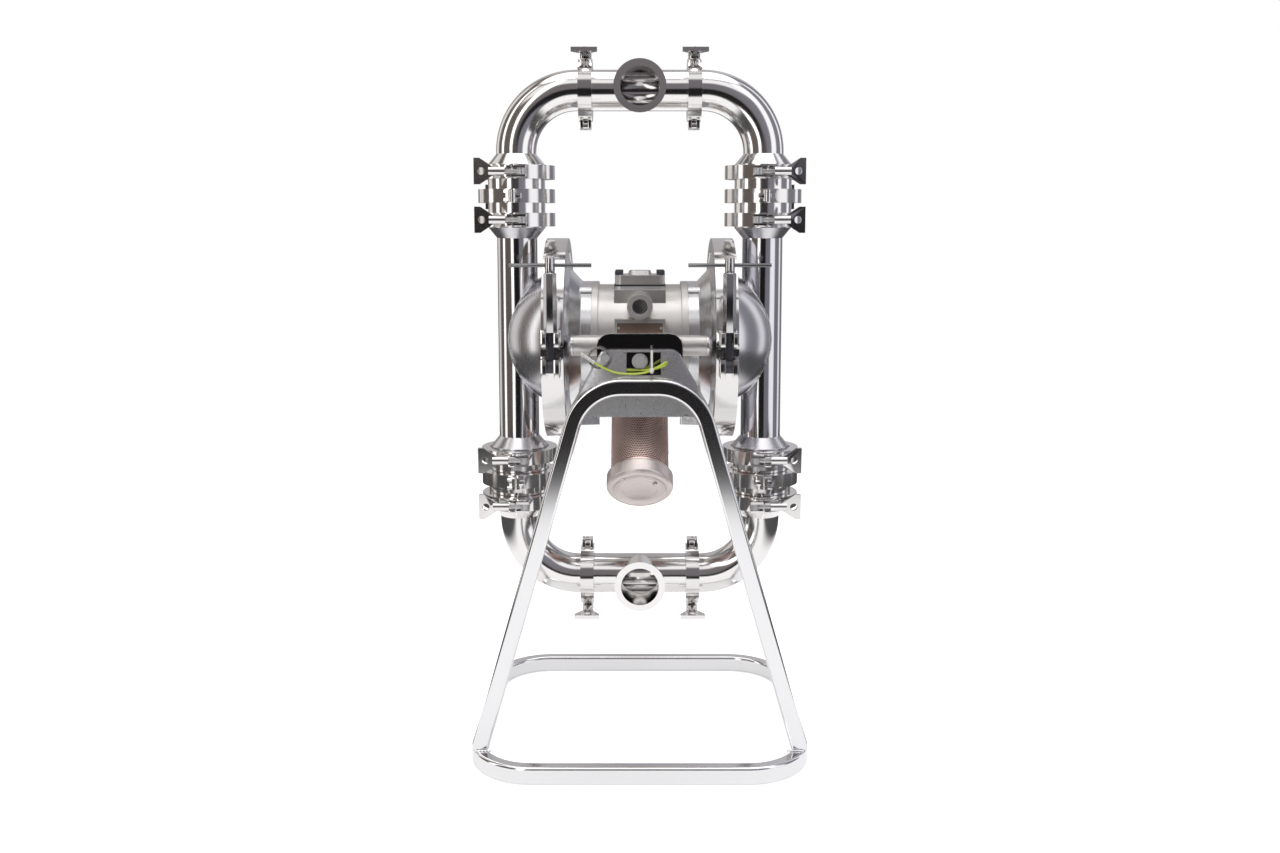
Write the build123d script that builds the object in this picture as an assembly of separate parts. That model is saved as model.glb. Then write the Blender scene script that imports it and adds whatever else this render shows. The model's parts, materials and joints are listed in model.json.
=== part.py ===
from build123d import *
import os
from math import atan, cos, radians, sin, sqrt, tan

# Air operated double diaphragm pump, all stainless, with 2 inch sanitary clamp ports.
# Millimetres. X runs along the diaphragm shaft, -Y is the port side, +Z is up.
# The origin is on the ground, in the middle of the base loop.

# ---------------------------------------------------------------- driving dimensions
# stand
base_half_width = 208.0
base_half_depth = 187.5
base_height = 22.0
base_bar_width = 16.0
base_corner_radius = 80.0
frame_bar_face = 20.0
frame_bar_depth = 16.0
frame_offset = 134.0
frame_foot_x = 194.6
frame_lean = 0.2865
arch_radius = 60.0
gusset_height = 25.0
gusset_half_width = 67.0
gusset_thickness = 5.0

# pump axis, and how far the arches' centre lines lie below it
axis_height = 513.0
arch_drop = 46.0

# sanitary tube and its ferrules
tube_radius = 25.4
tube_wall = 1.65
port_rim_radius = 32.0
port_rim_thickness = 2.85
rim_cone_angle = 20.0
manifold_offset = 311.0
riser_x = 156.0
elbow_radius = 76.2
tee_half_length = 68.0
port_reach = 62.0
gasket_thickness = 2.0
gasket_inset = 1.0

# ball valve stacks
stack_rim_radius = 44.0
stack_rim_thickness = 3.5
stack_neck_radius = 36.0
stack_bore_radius = 31.0
stack_pitch = 29.5
stack_start = 150.0
flare_length = 22.0
flare_land = 2.6
seat_height = 8.0
seat_bore_radius = 19.0
ball_radius = 23.8
ball_lift = 10.0
cage_rib_width = 6.0
cage_ring_height = 6.0
cage_stop_thickness = 3.0
cage_ribs = 4

# two-piece sanitary clamps
clamp_wall = 4.5
port_clamp_wall = 6.5
clamp_width = 17.0
clamp_lip = 6.0
clamp_split = 1.5
lug_half_width = 7.0
lug_slot = 8.4
lug_reach = 6.5
lug_nut_side = 8.5
lug_eye_side = 17.0
clamp_bolt_radius = 3.75
clamp_bolt_standoff = 6.5
clamp_eye_radius = 6.0
clamp_pin_radius = 2.2
knuckle_radius = 5.2
knuckle_gap = 0.5
knuckle_middle = 5.6
wing_hub_radius = 5.3
wing_hub_length = 20.0
wing_length = 38.0
wing_half_span = 16.0
wing_thickness = 5.0
wing_tip_length = 7.0
wing_eye_radius = 4.5

# chambers and diaphragms
diaphragm_x = 104.0
diaphragm_thickness = 3.2
chamber_rim_radius = 118.0
chamber_rim_thickness = 7.0
chamber_wall = 3.5
dome_radius = 91.0
dome_apex_x = 169.0
dome_foot_radius = 86.0
body_half_length = 60.0
cone_start_x = 73.0
cone_start_radius = 72.0
cone_end_x = 87.0
cone_end_radius = 87.0
dish_depth_x = 78.0
dish_floor_radius = 56.0
membrane_clamp_radius = 96.0
convolution_radius = 76.0
convolution_height = 7.0
convolution_flank = 3.0
membrane_inset = 2.0
dish_flank = 20.0
dish_rise = 6.0
hub_clearance = 1.0
plate_radius = 50.0
plate_thickness = 8.0
plate_edge = 4.0
rod_stroke = 12.0
shaft_radius = 9.5
stud_radius = 6.0
stud_length = 16.0
chamber_bolt_count = 6
chamber_bolt_pitch = 46.0
chamber_bolt_radius = 4.0
chamber_bolt_head = 6.5
chamber_bolt_head_height = 2.5
chamber_bolt_length = 34.0
boss_pitch_radius = 67.0
boss_radius = 9.0
boss_overlap = 2.0

# band clamps round the chamber rims
band_width = 27.0
band_wall = 8.7
band_lip = 8.0
band_split = 3.0
band_bolt_standoff = 20.0
band_bolt_radius = 4.0
band_ear_thickness = 6.0
band_ear_slot = 9.0
band_upper_ear = (4.0, 20.0)
band_lower_ear = (-33.0, -11.0)
band_ear_reach = 12.0
band_pin_radius = 3.0
band_pin_z = -20.0
band_eye_radius = 8.0
band_knuckle_radius = 6.5
band_knuckle_middle = 9.0
tnut_across_flats = 13.5
tnut_top = 107.0
tbar_radius = 2.3
tbar_length = 96.0
tbar_drop = 9.0
band_stud_top = 82.0

# centre section
body_radius = 68.0
body_ring_radius = 72.0
body_ring_length = 8.0
bushing_radius = 13.0
bushing_length = 20.0
seal_length = 5.0
front_pad_y = 76.0
front_pad_half_width = 45.0
front_pad_z = (-25.0, 9.0)
plate_boss_y = 78.0
plate_boss_half_width = 31.0
plate_boss_z = (10.5, 30.0)
nameplate_size = (58.0, 1.2, 14.5)
nameplate_z = 19.0
nameplate_screw_radius = 1.6
inlet_z = 46.0
inlet_boss_radius = 15.5
inlet_boss_y = 95.0
inlet_thread_radius = 9.3
inlet_thread_depth = 25.0
rear_pad_half_width = 34.0

# air valve
valve_y = 101.0
valve_tube_radius = 12.5
valve_tube_half_length = 80.0
valve_block_half_width = 50.0
valve_cap_reach = 7.5
valve_cap_land = 1.0
spool_bore_radius = 7.0
spool_half_length = 60.0
spool_travel = 8.0
spool_land = 12.0
spool_neck_radius = 4.5
spool_lands = 4

# pilot cover on top
cover_y = -25.0
cover_pad_z = 64.0
cover_size = (64.0, 48.0)
cover_plate_thickness = 4.0
cover_gasket_thickness = 2.0
cover_thickness = 12.0
cover_hump = (30.0, 26.0, 5.0)
cover_corner = 8.0
cover_inset = 1.0
cover_hump_taper = 20.0
cover_bolt_spacing = (52.0, 36.0)
cover_bolt_radius = 3.0
cover_head_radius = 5.0
cover_head_height = 5.0

# saddles between the centre section and the arches
saddle_face_y = 114.0
saddle_plate_thickness = 5.0
saddle_half_width = 51.0
saddle_top = 16.0
saddle_bottom = -58.0
saddle_corner = 16.0
hood_drop = 18.0
hood_sheet = 3.0
hood_height = 57.0
hood_window = (-16.0, 25.0, -33.0, -6.0)
mount_bolt_z = -17.0
mount_bolt_radius = 5.0
mount_bolt_head = 7.3
mount_bolt_head_height = 6.5
mount_bolt_depth = 24.0
washer_radius = 9.5
washer_thickness = 1.6

# exhaust muffler
muffler_tilt = 45.0
muffler_root_y = -20.0
muffler_root_z = -64.0
exhaust_boss_radius = 21.0
exhaust_boss_reach = 6.0
nipple_radius = 13.0
nipple_engagement = 16.0
muffler_start = 24.0
muffler_cap_start = 132.0
muffler_cap_length = 20.0
muffler_radius = 35.0
muffler_wall = 2.0
muffler_head = 8.0
muffler_cap_radius = 40.0
muffler_cap_bevel = 4.0
muffler_cap_boss = 22.0
muffler_cap_recess = 2.0
nipple_wall = 3.0

# earth wire on the front saddle; its route starts from the middle of the arch's back top edge
wire_diameter = 2.7
wire_route = (
    (-53.4, -1.5, 18.4), (-35.0, -4.5, 6.8), (-10.0, -7.0, 5.2), (9.0, -12.0, 8.0),
    (24.4, -20.3, 17.2), (32.7, -9.7, 21.3), (29.4, 1.0, 13.4), (13.0, 1.0, 9.6),
    (-4.0, 4.0, 8.8), (-24.0, 4.9, 9.2),
)
wire_bend_share = 0.45
lug_barrel_radius = 2.0
lug_barrel_length = 20.0
lug_ring_x = -48.5
lug_ring_rise = 23.9
lug_ring_radius = 13.0
lug_ring_bore = 10.6
lug_ring_thickness = 1.2
earth_boss_radius = 5.5
earth_boss_reach = 6.5
earth_screw_radius = 2.5
earth_screw_head = 4.5
earth_screw_head_height = 3.0
earth_screw_depth = 9.0

# clearances
fit = 0.05
slip = 0.3
seat_gap = 0.2

# ---------------------------------------------------------------- derived places
frame_top_height = axis_height - arch_drop
arch_top = frame_top_height + frame_bar_face / 2
tube_bore = tube_radius - tube_wall
half_gasket = gasket_thickness / 2
outlet_z = axis_height + manifold_offset
inlet_port_z = axis_height - manifold_offset
stack_span = 2 * stack_pitch
top_stack_z = axis_height + stack_start
bottom_stack_z = axis_height - stack_start - stack_span
half_diaphragm = diaphragm_thickness / 2
cone_slope = tan(radians(rim_cone_angle))
plate_front_y = saddle_face_y + saddle_plate_thickness
frame_back_y = frame_offset - frame_bar_depth / 2
earth_screw_x = lug_ring_x + lug_ring_bore - earth_screw_radius - fit
earth_screw_z = arch_top + lug_ring_rise

# named nodes, and the groups of like pieces that become one node each
parts = {}
groups = {name: [] for name in (
    "stack_spools", "valve_seats", "ball_cages", "clamp_gaskets", "clamp_nut_halves",
    "clamp_bolt_halves", "clamp_hinge_pins", "clamp_swing_bolts", "clamp_wing_nuts",
    "small_screws",
)}


# ---------------------------------------------------------------- helpers
def turned(outline):
    """Solid of revolution about Z from a closed (radius, height) outline."""
    wire = Polyline(*[(radius, 0, height) for radius, height in outline], close=True)
    return revolve(make_face(wire), Axis.Z)


def along_x(solid, side=1):
    """Turn a solid made along +Z so that it runs along +X or -X."""
    return Rot(0, 90 * side, 0) * solid


def rod(radius, start, end):
    """Round bar along Z between two heights."""
    return Pos(0, 0, (start + end) / 2) * Cylinder(radius, end - start)


def tube(outer, inner, start, end):
    """Round sleeve along Z between two heights."""
    return rod(outer, start, end) - rod(inner, start, end)


def block(x_range, y_range, z_range):
    """Box between three pairs of limits."""
    centre = [(low + high) / 2 for low, high in (x_range, y_range, z_range)]
    size = [high - low for low, high in (x_range, y_range, z_range)]
    return Pos(*centre) * Box(*size)


def pipe(path, radius):
    """Round bar along a path."""
    return sweep(Plane(path @ 0, z_dir=path % 0) * Circle(radius), path=path)


def mirrored(solid, side):
    """The solid itself for side 1, and its mirror image in X for side -1."""
    return solid if side > 0 else mirror(solid, Plane.YZ)


def solids_of(shapes):
    """All separate solids of several shapes as one group."""
    return Compound(children=[piece for shape in shapes for piece in shape.solids()])


# ---------------------------------------------------------------- ferrules
def ferrule(rim, rim_thickness, neck, tail, tail_length):
    """Clamp ferrule with its mating face at z=0, closing to the pipe radius at its tail."""
    cone = (rim - neck) * cone_slope
    land = rim_thickness + cone + (flare_land if tail_length > rim_thickness + cone else 0)
    outline = [(0, 0), (rim, 0), (rim, rim_thickness), (neck, rim_thickness + cone)]
    if tail_length > land:
        outline += [(neck, land), (tail, tail_length)]
        outline.append((0, tail_length))
    else:
        outline.append((0, rim_thickness + cone))
    return turned(outline)


def port_ferrule():
    """Small ferrule of the 2 inch manifold joints."""
    return ferrule(port_rim_radius, port_rim_thickness, tube_radius, tube_radius, 0)


def stack_ferrule():
    """Large ferrule of the ball valve stacks, flaring out from the 2 inch tube."""
    return ferrule(
        stack_rim_radius, stack_rim_thickness, stack_neck_radius, tube_radius, flare_length
    )


# ---------------------------------------------------------------- two-piece clamps
class ClampSize:
    """Radii of one two-piece clamp, worked out from the ferrule that it holds."""

    def __init__(self, rim, rim_thickness, wall):
        self.rim = rim
        self.rim_thickness = rim_thickness
        self.outer = rim + wall
        self.lip = rim - clamp_lip
        self.bolt_y = self.outer + clamp_bolt_standoff
        self.hinge_y = self.outer + knuckle_radius + knuckle_gap

    def ring(self):
        """Grooved band, closed all round."""
        groove = half_gasket + self.rim_thickness + seat_gap
        reach = groove + (self.rim + seat_gap - self.lip) * cone_slope
        half = clamp_width / 2
        return turned([
            (self.lip, reach), (self.lip, half), (self.outer, half), (self.outer, -half),
            (self.lip, -half), (self.lip, -reach), (self.rim + seat_gap, -groove),
            (self.rim + seat_gap, groove),
        ])

    def bolt_lug(self, x_start, x_end):
        """Forked lug on the bolt side."""
        lug = block(
            (x_start, x_end), (-self.bolt_y - lug_reach, -self.outer + clamp_wall / 2),
            (-lug_half_width, lug_half_width),
        )
        inner_y = self.outer + seat_gap
        slot = block(
            (x_start, x_end), (-self.bolt_y - 2 * lug_reach, -inner_y),
            (-lug_slot / 2, lug_slot / 2),
        )
        return lug - slot

    def knuckles(self, side, spans):
        """Hinge knuckles with the webs that carry them."""
        shapes = []
        for low, high in spans:
            web = block(
                sorted((side * clamp_split / 2, side * 2 * knuckle_radius)),
                (self.outer - clamp_wall / 2, self.hinge_y + knuckle_radius / 2), (low, high),
            )
            shapes.append(web + Pos(0, self.hinge_y, 0) * rod(knuckle_radius, low, high))
        return shapes

    def half(self, side):
        """Half of the clamp: side -1 takes the nut, side 1 carries the swing bolt."""
        keep = block(
            sorted((side * clamp_split / 2, side * 2 * self.outer)),
            (-self.outer, self.outer), (-clamp_width, clamp_width),
        )
        body = self.ring() & keep
        if side < 0:
            body += self.bolt_lug(-lug_nut_side, -clamp_split / 2)
            spans = [(-lug_half_width, -knuckle_middle / 2 - knuckle_gap),
                     (knuckle_middle / 2 + knuckle_gap, lug_half_width)]
        else:
            body += self.bolt_lug(clamp_split / 2, lug_eye_side)
            spans = [(-knuckle_middle / 2, knuckle_middle / 2)]
            pin = Pos(self.eye_x(), -self.bolt_y, 0)
            body -= pin * rod(clamp_pin_radius, -lug_half_width, lug_half_width)
        for knuckle in self.knuckles(side, spans):
            body += knuckle
        hinge = Pos(0, self.hinge_y, 0)
        return body - hinge * rod(clamp_pin_radius, -lug_half_width, lug_half_width)

    def eye_x(self):
        """Place of the swing bolt's pin along the bolt."""
        return lug_eye_side - clamp_eye_radius

    def pins(self):
        """Hinge pin and swing bolt pin."""
        hinge = Pos(0, self.hinge_y, 0) * rod(clamp_pin_radius, -lug_half_width, lug_half_width)
        swing = Pos(self.eye_x(), -self.bolt_y, 0)
        return hinge + swing * rod(clamp_pin_radius, -lug_half_width, lug_half_width)

    def bolt(self):
        """Swing bolt with its eye round the pin."""
        half = lug_slot / 2 - seat_gap
        end = -lug_nut_side - wing_hub_length
        eye = Pos(self.eye_x(), -self.bolt_y, 0) * rod(clamp_eye_radius, -half, half)
        shank = Pos(0, -self.bolt_y, 0) * along_x(rod(clamp_bolt_radius, end, self.eye_x()))
        hole = Pos(self.eye_x(), -self.bolt_y, 0) * rod(clamp_pin_radius, -half, half)
        return eye + shank - hole

    def wing_nut(self):
        """Wing nut with a long hub and flat-ended flared wings."""
        face = -lug_nut_side
        hub = along_x(tube(wing_hub_radius, clamp_bolt_radius, face - wing_hub_length, face))
        root = face - wing_hub_length + wing_thickness
        tip = face - wing_length
        profile = Polyline(
            (root, -wing_hub_radius), (tip + wing_tip_length, -wing_half_span),
            (tip, -wing_half_span), (tip, wing_half_span),
            (tip + wing_tip_length, wing_half_span), (root, wing_hub_radius), close=True,
        )
        plate = extrude(make_face(profile), wing_thickness / 2, both=True)
        wings = Rot(90, 0, 0) * plate
        eye_x = (tip + face - wing_hub_length) / 2
        window = Pos(eye_x, 0, 0) * Rot(90, 0, 0) * Cylinder(wing_eye_radius, 2 * wing_thickness)
        bore = along_x(rod(clamp_bolt_radius, face - wing_hub_length, face))
        return Pos(0, -self.bolt_y, 0) * (hub + wings - window - bore)


stack_clamp = ClampSize(stack_rim_radius, stack_rim_thickness, clamp_wall)
port_clamp = ClampSize(port_rim_radius, port_rim_thickness, port_clamp_wall)


# ---------------------------------------------------------------- stand
def make_base():
    """Bent bar loop that stands on the ground."""
    outer = RectangleRounded(2 * base_half_width, 2 * base_half_depth, base_corner_radius)
    inner = RectangleRounded(
        2 * (base_half_width - base_bar_width), 2 * (base_half_depth - base_bar_width),
        base_corner_radius - base_bar_width,
    )
    return extrude(outer - inner, base_height)


def make_frame():
    """Two leaning legs joined by an arch, bent from one bar, at the front."""
    rise = frame_top_height - base_height
    top_x = frame_foot_x - frame_lean * rise
    foot_x = frame_foot_x + frame_lean * base_height
    points = [(-foot_x, -frame_offset, 0), (-top_x, -frame_offset, frame_top_height),
              (top_x, -frame_offset, frame_top_height), (foot_x, -frame_offset, 0)]
    path = FilletPolyline(*points, radius=arch_radius)
    section = Plane(path @ 0, x_dir=(0, 1, 0), z_dir=path % 0)
    bar = sweep(section * Rectangle(frame_bar_depth, frame_bar_face), path=path)
    span = 2 * base_half_width
    return bar - block((-span, span), (-span, span), (-base_height, base_height))


def make_gusset(frame):
    """Cross plate that fills the arch."""
    top = frame_top_height - frame_bar_face / 2
    plate = block(
        (-gusset_half_width, gusset_half_width),
        (-frame_offset - gusset_thickness / 2, -frame_offset + gusset_thickness / 2),
        (top - gusset_height, top + slip),
    )
    return plate - frame


def make_mount_plate():
    """Upright mounting plate with rounded top corners."""
    z = axis_height
    plate = extrude(
        Plane.XZ.offset(saddle_face_y) * Pos(0, z + (saddle_top + saddle_bottom) / 2)
        * Rectangle(2 * saddle_half_width, saddle_top - saddle_bottom), saddle_plate_thickness,
    )
    top_edges = plate.edges().filter_by(Axis.Y).group_by(Axis.Z)[-1]
    plate = fillet(top_edges, saddle_corner)
    return plate


def arch_face(y, top_z, bottom_z, top_half, foot_half, corner):
    """Arch-shaped face at one depth, standing in an XZ plane."""
    points = [(-foot_half, bottom_z), (-top_half, top_z), (top_half, top_z),
              (foot_half, bottom_z)]
    face = make_face(Polyline(*points, close=True))
    corners = face.vertices().group_by(Axis.Y)[-1]
    return Plane.XZ.offset(-y) * fillet(corners, corner)


def make_hood():
    """Flared sheet between the mounting plate and the arch bar, open behind and below."""
    z = axis_height
    back_y = -plate_front_y
    front_y = -frame_back_y
    low = arch_top - hood_height
    back_top = z + saddle_top - hood_drop
    top_x = frame_foot_x - frame_lean * (frame_top_height - base_height)
    edge = frame_bar_face / 2 * sqrt(1 + frame_lean ** 2)
    front_top_half = top_x + edge - frame_lean * frame_bar_face / 2
    front_foot_half = front_top_half + frame_lean * hood_height
    outer_radius = arch_radius + frame_bar_face / 2
    outside = loft([
        arch_face(front_y, arch_top, low, front_top_half, front_foot_half, outer_radius),
        arch_face(back_y, back_top, low, saddle_half_width, saddle_half_width, saddle_corner),
    ])
    inside = loft([
        arch_face(front_y, arch_top - hood_sheet, low, front_top_half - hood_sheet,
                  front_foot_half - hood_sheet, outer_radius - hood_sheet),
        arch_face(back_y, back_top - hood_sheet, low, saddle_half_width - hood_sheet,
                  saddle_half_width - hood_sheet, saddle_corner - hood_sheet),
    ])
    x_low, x_high, z_low, z_high = hood_window
    window = block((x_low, x_high), (front_y - hood_sheet, back_y + slip),
                   (z + z_low, z + z_high))
    return outside - inside - window


def hex_bolt(radius, head, head_height, depth):
    """Hex bolt along Z with its head above z=0 and its shank below."""
    bolt_head = extrude(RegularPolygon(head, 6, major_radius=False), head_height)
    return bolt_head + rod(radius, -depth, 0)


def make_mount_bolt():
    """Bolt through the mounting plate, at the front, along Y."""
    bolt = hex_bolt(mount_bolt_radius, mount_bolt_head, mount_bolt_head_height, mount_bolt_depth)
    place = Pos(0, -plate_front_y - washer_thickness, axis_height + mount_bolt_z)
    return place * Rot(90, 0, 0) * bolt


def make_mount_washer():
    """Washer under the mounting bolt's head."""
    washer = tube(washer_radius, mount_bolt_radius + fit, 0, washer_thickness)
    return Pos(0, -plate_front_y, axis_height + mount_bolt_z) * Rot(90, 0, 0) * washer


def earth_place(depth):
    """Place on the earth screw's axis, a depth in front of the mounting plate, facing -Y."""
    return Pos(earth_screw_x, -plate_front_y - depth, earth_screw_z) * Rot(90, 0, 0)


def make_earth_boss():
    """Welded boss on the saddle that takes the earth screw."""
    return earth_place(0) * rod(earth_boss_radius, 0, earth_boss_reach)


def make_earth_screw():
    """Earth screw that holds the lug's ring on its boss."""
    head = rod(earth_screw_head, lug_ring_thickness,
               lug_ring_thickness + earth_screw_head_height)
    shank = rod(earth_screw_radius, -earth_screw_depth, lug_ring_thickness)
    return earth_place(earth_boss_reach) * (head + shank)


def wire_points():
    """Route of the earth wire, from its lug to the inside of the hood."""
    return [Vector(x, -frame_back_y + y, arch_top + z) for x, y, z in wire_route]


def make_earth_wire():
    """Earth wire: straight runs joined by tangent arcs, as wide as the runs allow."""
    points = wire_points()
    radii = []
    for before, here, after in zip(points, points[1:], points[2:]):
        shorter = min((here - before).length, (after - here).length)
        half_turn = radians((here - before).get_angle(after - here)) / 2
        radii.append(wire_bend_share * shorter / tan(half_turn))
    print("earth wire bend radii:", [round(radius, 1) for radius in radii])
    path = FilletPolyline(*points, radius=radii)
    print("earth wire length:", round(path.length, 1))
    return pipe(path, wire_diameter / 2)


def make_earth_lug():
    """Ring lug under the earth screw with its barrel crimped on the wire's end."""
    start, towards = wire_points()[:2]
    barrel = Plane(origin=start, z_dir=start - towards) * rod(
        lug_barrel_radius, 0, lug_barrel_length)
    shift = Pos(lug_ring_x - earth_screw_x, 0, 0)
    ring = earth_place(earth_boss_reach) * shift * tube(
        lug_ring_radius, lug_ring_bore, 0, lug_ring_thickness)
    return barrel + ring


def mount_bolt_hole(slack):
    """Hole of the mounting bolt, from the plate's front into the casting behind it."""
    depth = mount_bolt_depth + slip
    hole = rod(mount_bolt_radius + slack, -depth, slip)
    place = Pos(0, -plate_front_y - washer_thickness, axis_height + mount_bolt_z)
    return place * Rot(90, 0, 0) * hole


# ---------------------------------------------------------------- manifolds
def make_tee():
    """Tee of the outlet manifold, with its port towards -Y."""
    end = tee_half_length - half_gasket
    port_turn = Rot(90, 0, 0)
    run_bore = along_x(rod(tube_bore + fit, -end, end))
    port_bore = port_turn * rod(tube_bore, 0, port_reach)
    body = along_x(rod(tube_radius + fit, -end, end)) + port_turn * rod(tube_radius, 0, port_reach)
    for side in (1, -1):
        body += Pos(side * end, 0, 0) * along_x(port_ferrule(), -side)
    body += Pos(0, -port_reach, 0) * Rot(-90, 0, 0) * port_ferrule()
    return body - run_bore - port_bore


def make_elbow():
    """Outlet elbow at +X, from the tee's clamp down to the stack; z=0 on the manifold line."""
    start_x = tee_half_length + half_gasket
    end_z = -(manifold_offset - stack_start - stack_span) + half_gasket
    path = FilletPolyline((start_x, 0, 0), (riser_x, 0, 0), (riser_x, 0, end_z),
                          radius=elbow_radius)
    body = pipe(path, tube_radius)
    body += Pos(start_x, 0, 0) * along_x(port_ferrule())
    body += Pos(riser_x, 0, end_z) * stack_ferrule()
    return body - pipe(path, tube_bore)


def make_port_gasket():
    """Gasket between two small ferrules, at +X."""
    ring = tube(port_rim_radius - gasket_inset, tube_bore, -half_gasket, half_gasket)
    return Pos(tee_half_length, 0, 0) * along_x(ring)


def place_port_clamp(shape, x):
    """Set a clamp piece round the manifold line, with its bolt above and its nut in front."""
    return Plane(origin=(x, 0, 0), x_dir=(0, 1, 0), z_dir=(-1, 0, 0)) * shape


# ---------------------------------------------------------------- ball valve stacks
def stack_joints(z_start):
    """Heights of a stack's three clamp joints."""
    return [z_start + index * stack_pitch for index in range(3)]


def make_spools(z_start):
    """Two short spools of one stack."""
    length = stack_pitch - gasket_thickness
    cone = (stack_rim_radius - stack_neck_radius) * cone_slope
    rim, neck = stack_rim_thickness, stack_rim_thickness + cone
    outline = [
        (stack_bore_radius, 0), (stack_rim_radius, 0), (stack_rim_radius, rim),
        (stack_neck_radius, neck), (stack_neck_radius, length - neck),
        (stack_rim_radius, length - rim), (stack_rim_radius, length), (stack_bore_radius, length),
    ]
    spool = turned(outline)
    return [Pos(0, 0, z + half_gasket) * spool for z in stack_joints(z_start)[:2]]


def make_stack_gaskets(z_start):
    """Three gaskets of one stack."""
    ring = tube(stack_rim_radius - gasket_inset, stack_bore_radius, -half_gasket, half_gasket)
    return [Pos(0, 0, z) * ring for z in stack_joints(z_start)]


def seat_bottom(z_start):
    """Height of the ferrule face that carries the valve seat."""
    return z_start - half_gasket


def make_seat(z_start):
    """Valve seat ring that the ball closes."""
    low = seat_bottom(z_start)
    return tube(stack_bore_radius - slip, seat_bore_radius, low, low + seat_height)


def ball_centre(z_start):
    """Height of the closed ball's centre, just clear of the seat's edge."""
    rise = sqrt((ball_radius + fit) ** 2 - seat_bore_radius ** 2)
    return seat_bottom(z_start) + seat_height + rise + fit


def make_cage(z_start):
    """Ball cage: a foot ring, guide ribs and a crossed stop above the ball."""
    low = seat_bottom(z_start) + seat_height
    outer = stack_bore_radius - slip
    guide = ball_radius + seat_gap
    stop = ball_centre(z_start) + ball_radius + ball_lift + seat_gap
    top = stop + cage_stop_thickness
    cage = tube(outer, guide, low, low + cage_ring_height)
    sleeve = tube(outer, guide, low, top)
    for index in range(cage_ribs):
        arm = block((0, outer), (-cage_rib_width / 2, cage_rib_width / 2), (low, top))
        turn = Rot(0, 0, index * 360 / cage_ribs)
        cage += turn * (arm & sleeve)
        bar = block((0, outer - fit), (-cage_rib_width / 2, cage_rib_width / 2), (stop, top))
        cage += turn * (bar & rod(outer, stop, top))
    return cage


# ---------------------------------------------------------------- chambers, made at +X
def rim_cone(face_x, direction, root_radius):
    """Outline points (radius, x) of a clamp rim, from its face to the foot of its cone."""
    back = face_x + direction * chamber_rim_thickness
    foot = back + direction * (chamber_rim_radius - root_radius) * cone_slope
    return [(chamber_rim_radius, face_x), (chamber_rim_radius, back), (root_radius, foot)]


def dome(radius, inner):
    """Dome of revolution along Z from the rim's face, solid."""
    face = diaphragm_x + half_diaphragm
    centre = dome_apex_x - dome_radius
    root = chamber_rim_radius - band_lip - slip
    foot_x = rim_cone(face, 1, root)[-1][1] + slip
    if inner:
        start = membrane_clamp_radius + membrane_inset
        foot = foot_x - chamber_wall
        lines = [(0, face), (start, face)]
    else:
        foot = foot_x
        lines = [(0, face)] + rim_cone(face, 1, root)
    arc_radius = sqrt(radius ** 2 - (foot - centre) ** 2)
    half_turn = atan((foot - centre) / arc_radius)
    middle = radians(45) + half_turn / 2
    lines.append((arc_radius, foot))
    outline = Polyline(*[(r, 0, h) for r, h in lines])
    cap = ThreePointArc(
        (arc_radius, 0, foot),
        (radius * cos(middle), 0, centre + radius * sin(middle)),
        (0, 0, centre + radius),
    )
    axis_line = Line((0, 0, centre + radius), (0, 0, face))
    return revolve(make_face(Wire([*outline.edges(), cap, axis_line])), Axis.Z)


def make_outer_chamber():
    """Wet chamber: a straight riser between the two stacks with a dome welded into its side."""
    body = along_x(dome(dome_radius, False))
    hollow = along_x(dome(dome_radius - chamber_wall, True))
    top = stack_start - half_gasket
    riser = Pos(riser_x, 0, 0)
    body += riser * rod(tube_radius, -top, top)
    body += riser * Pos(0, 0, -top) * stack_ferrule()
    body += riser * Pos(0, 0, top) * Rot(180, 0, 0) * stack_ferrule()
    hollow += riser * rod(tube_bore, -top, top)
    return Pos(0, 0, axis_height) * (body - hollow)


def make_inner_chamber():
    """Air-side chamber: a dished disc between the centre section and the diaphragm."""
    face = diaphragm_x - half_diaphragm
    root = chamber_rim_radius - band_lip - slip
    hub = bushing_radius + hub_clearance
    outline = [(hub, body_half_length), (cone_start_radius, body_half_length),
               (cone_start_radius, cone_start_x), (cone_end_radius, cone_end_x)]
    outline += list(reversed(rim_cone(face, -1, root)))
    outline += [(membrane_clamp_radius, face), (dish_floor_radius + dish_flank, dish_depth_x + dish_rise),
                (dish_floor_radius, dish_depth_x), (hub, dish_depth_x)]
    body = turned(outline)
    for angle in boss_angles():
        boss = Pos(boss_pitch_radius, 0, 0) * rod(
            boss_radius, body_half_length, cone_start_x + boss_overlap)
        body += Rot(0, 0, angle) * boss
        body -= Rot(0, 0, angle) * Pos(chamber_bolt_pitch, 0, 0) * rod(
            chamber_bolt_radius + fit, body_half_length, dish_depth_x)
    return Pos(0, 0, axis_height) * along_x(body)


def boss_angles():
    """Angles of the bolts that hold an inner chamber."""
    step = 360 / chamber_bolt_count
    return [step / 2 + index * step for index in range(chamber_bolt_count)]


def chamber_bolts():
    """Cap screws of the +X inner chamber."""
    screws = []
    for angle in boss_angles():
        head = rod(chamber_bolt_head, dish_depth_x, dish_depth_x + chamber_bolt_head_height)
        shank = rod(chamber_bolt_radius, dish_depth_x - chamber_bolt_length, dish_depth_x)
        place = Rot(0, 0, angle) * Pos(chamber_bolt_pitch, 0, 0)
        screws.append(Pos(0, 0, axis_height) * along_x(place * (head + shank)))
    return screws


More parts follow.
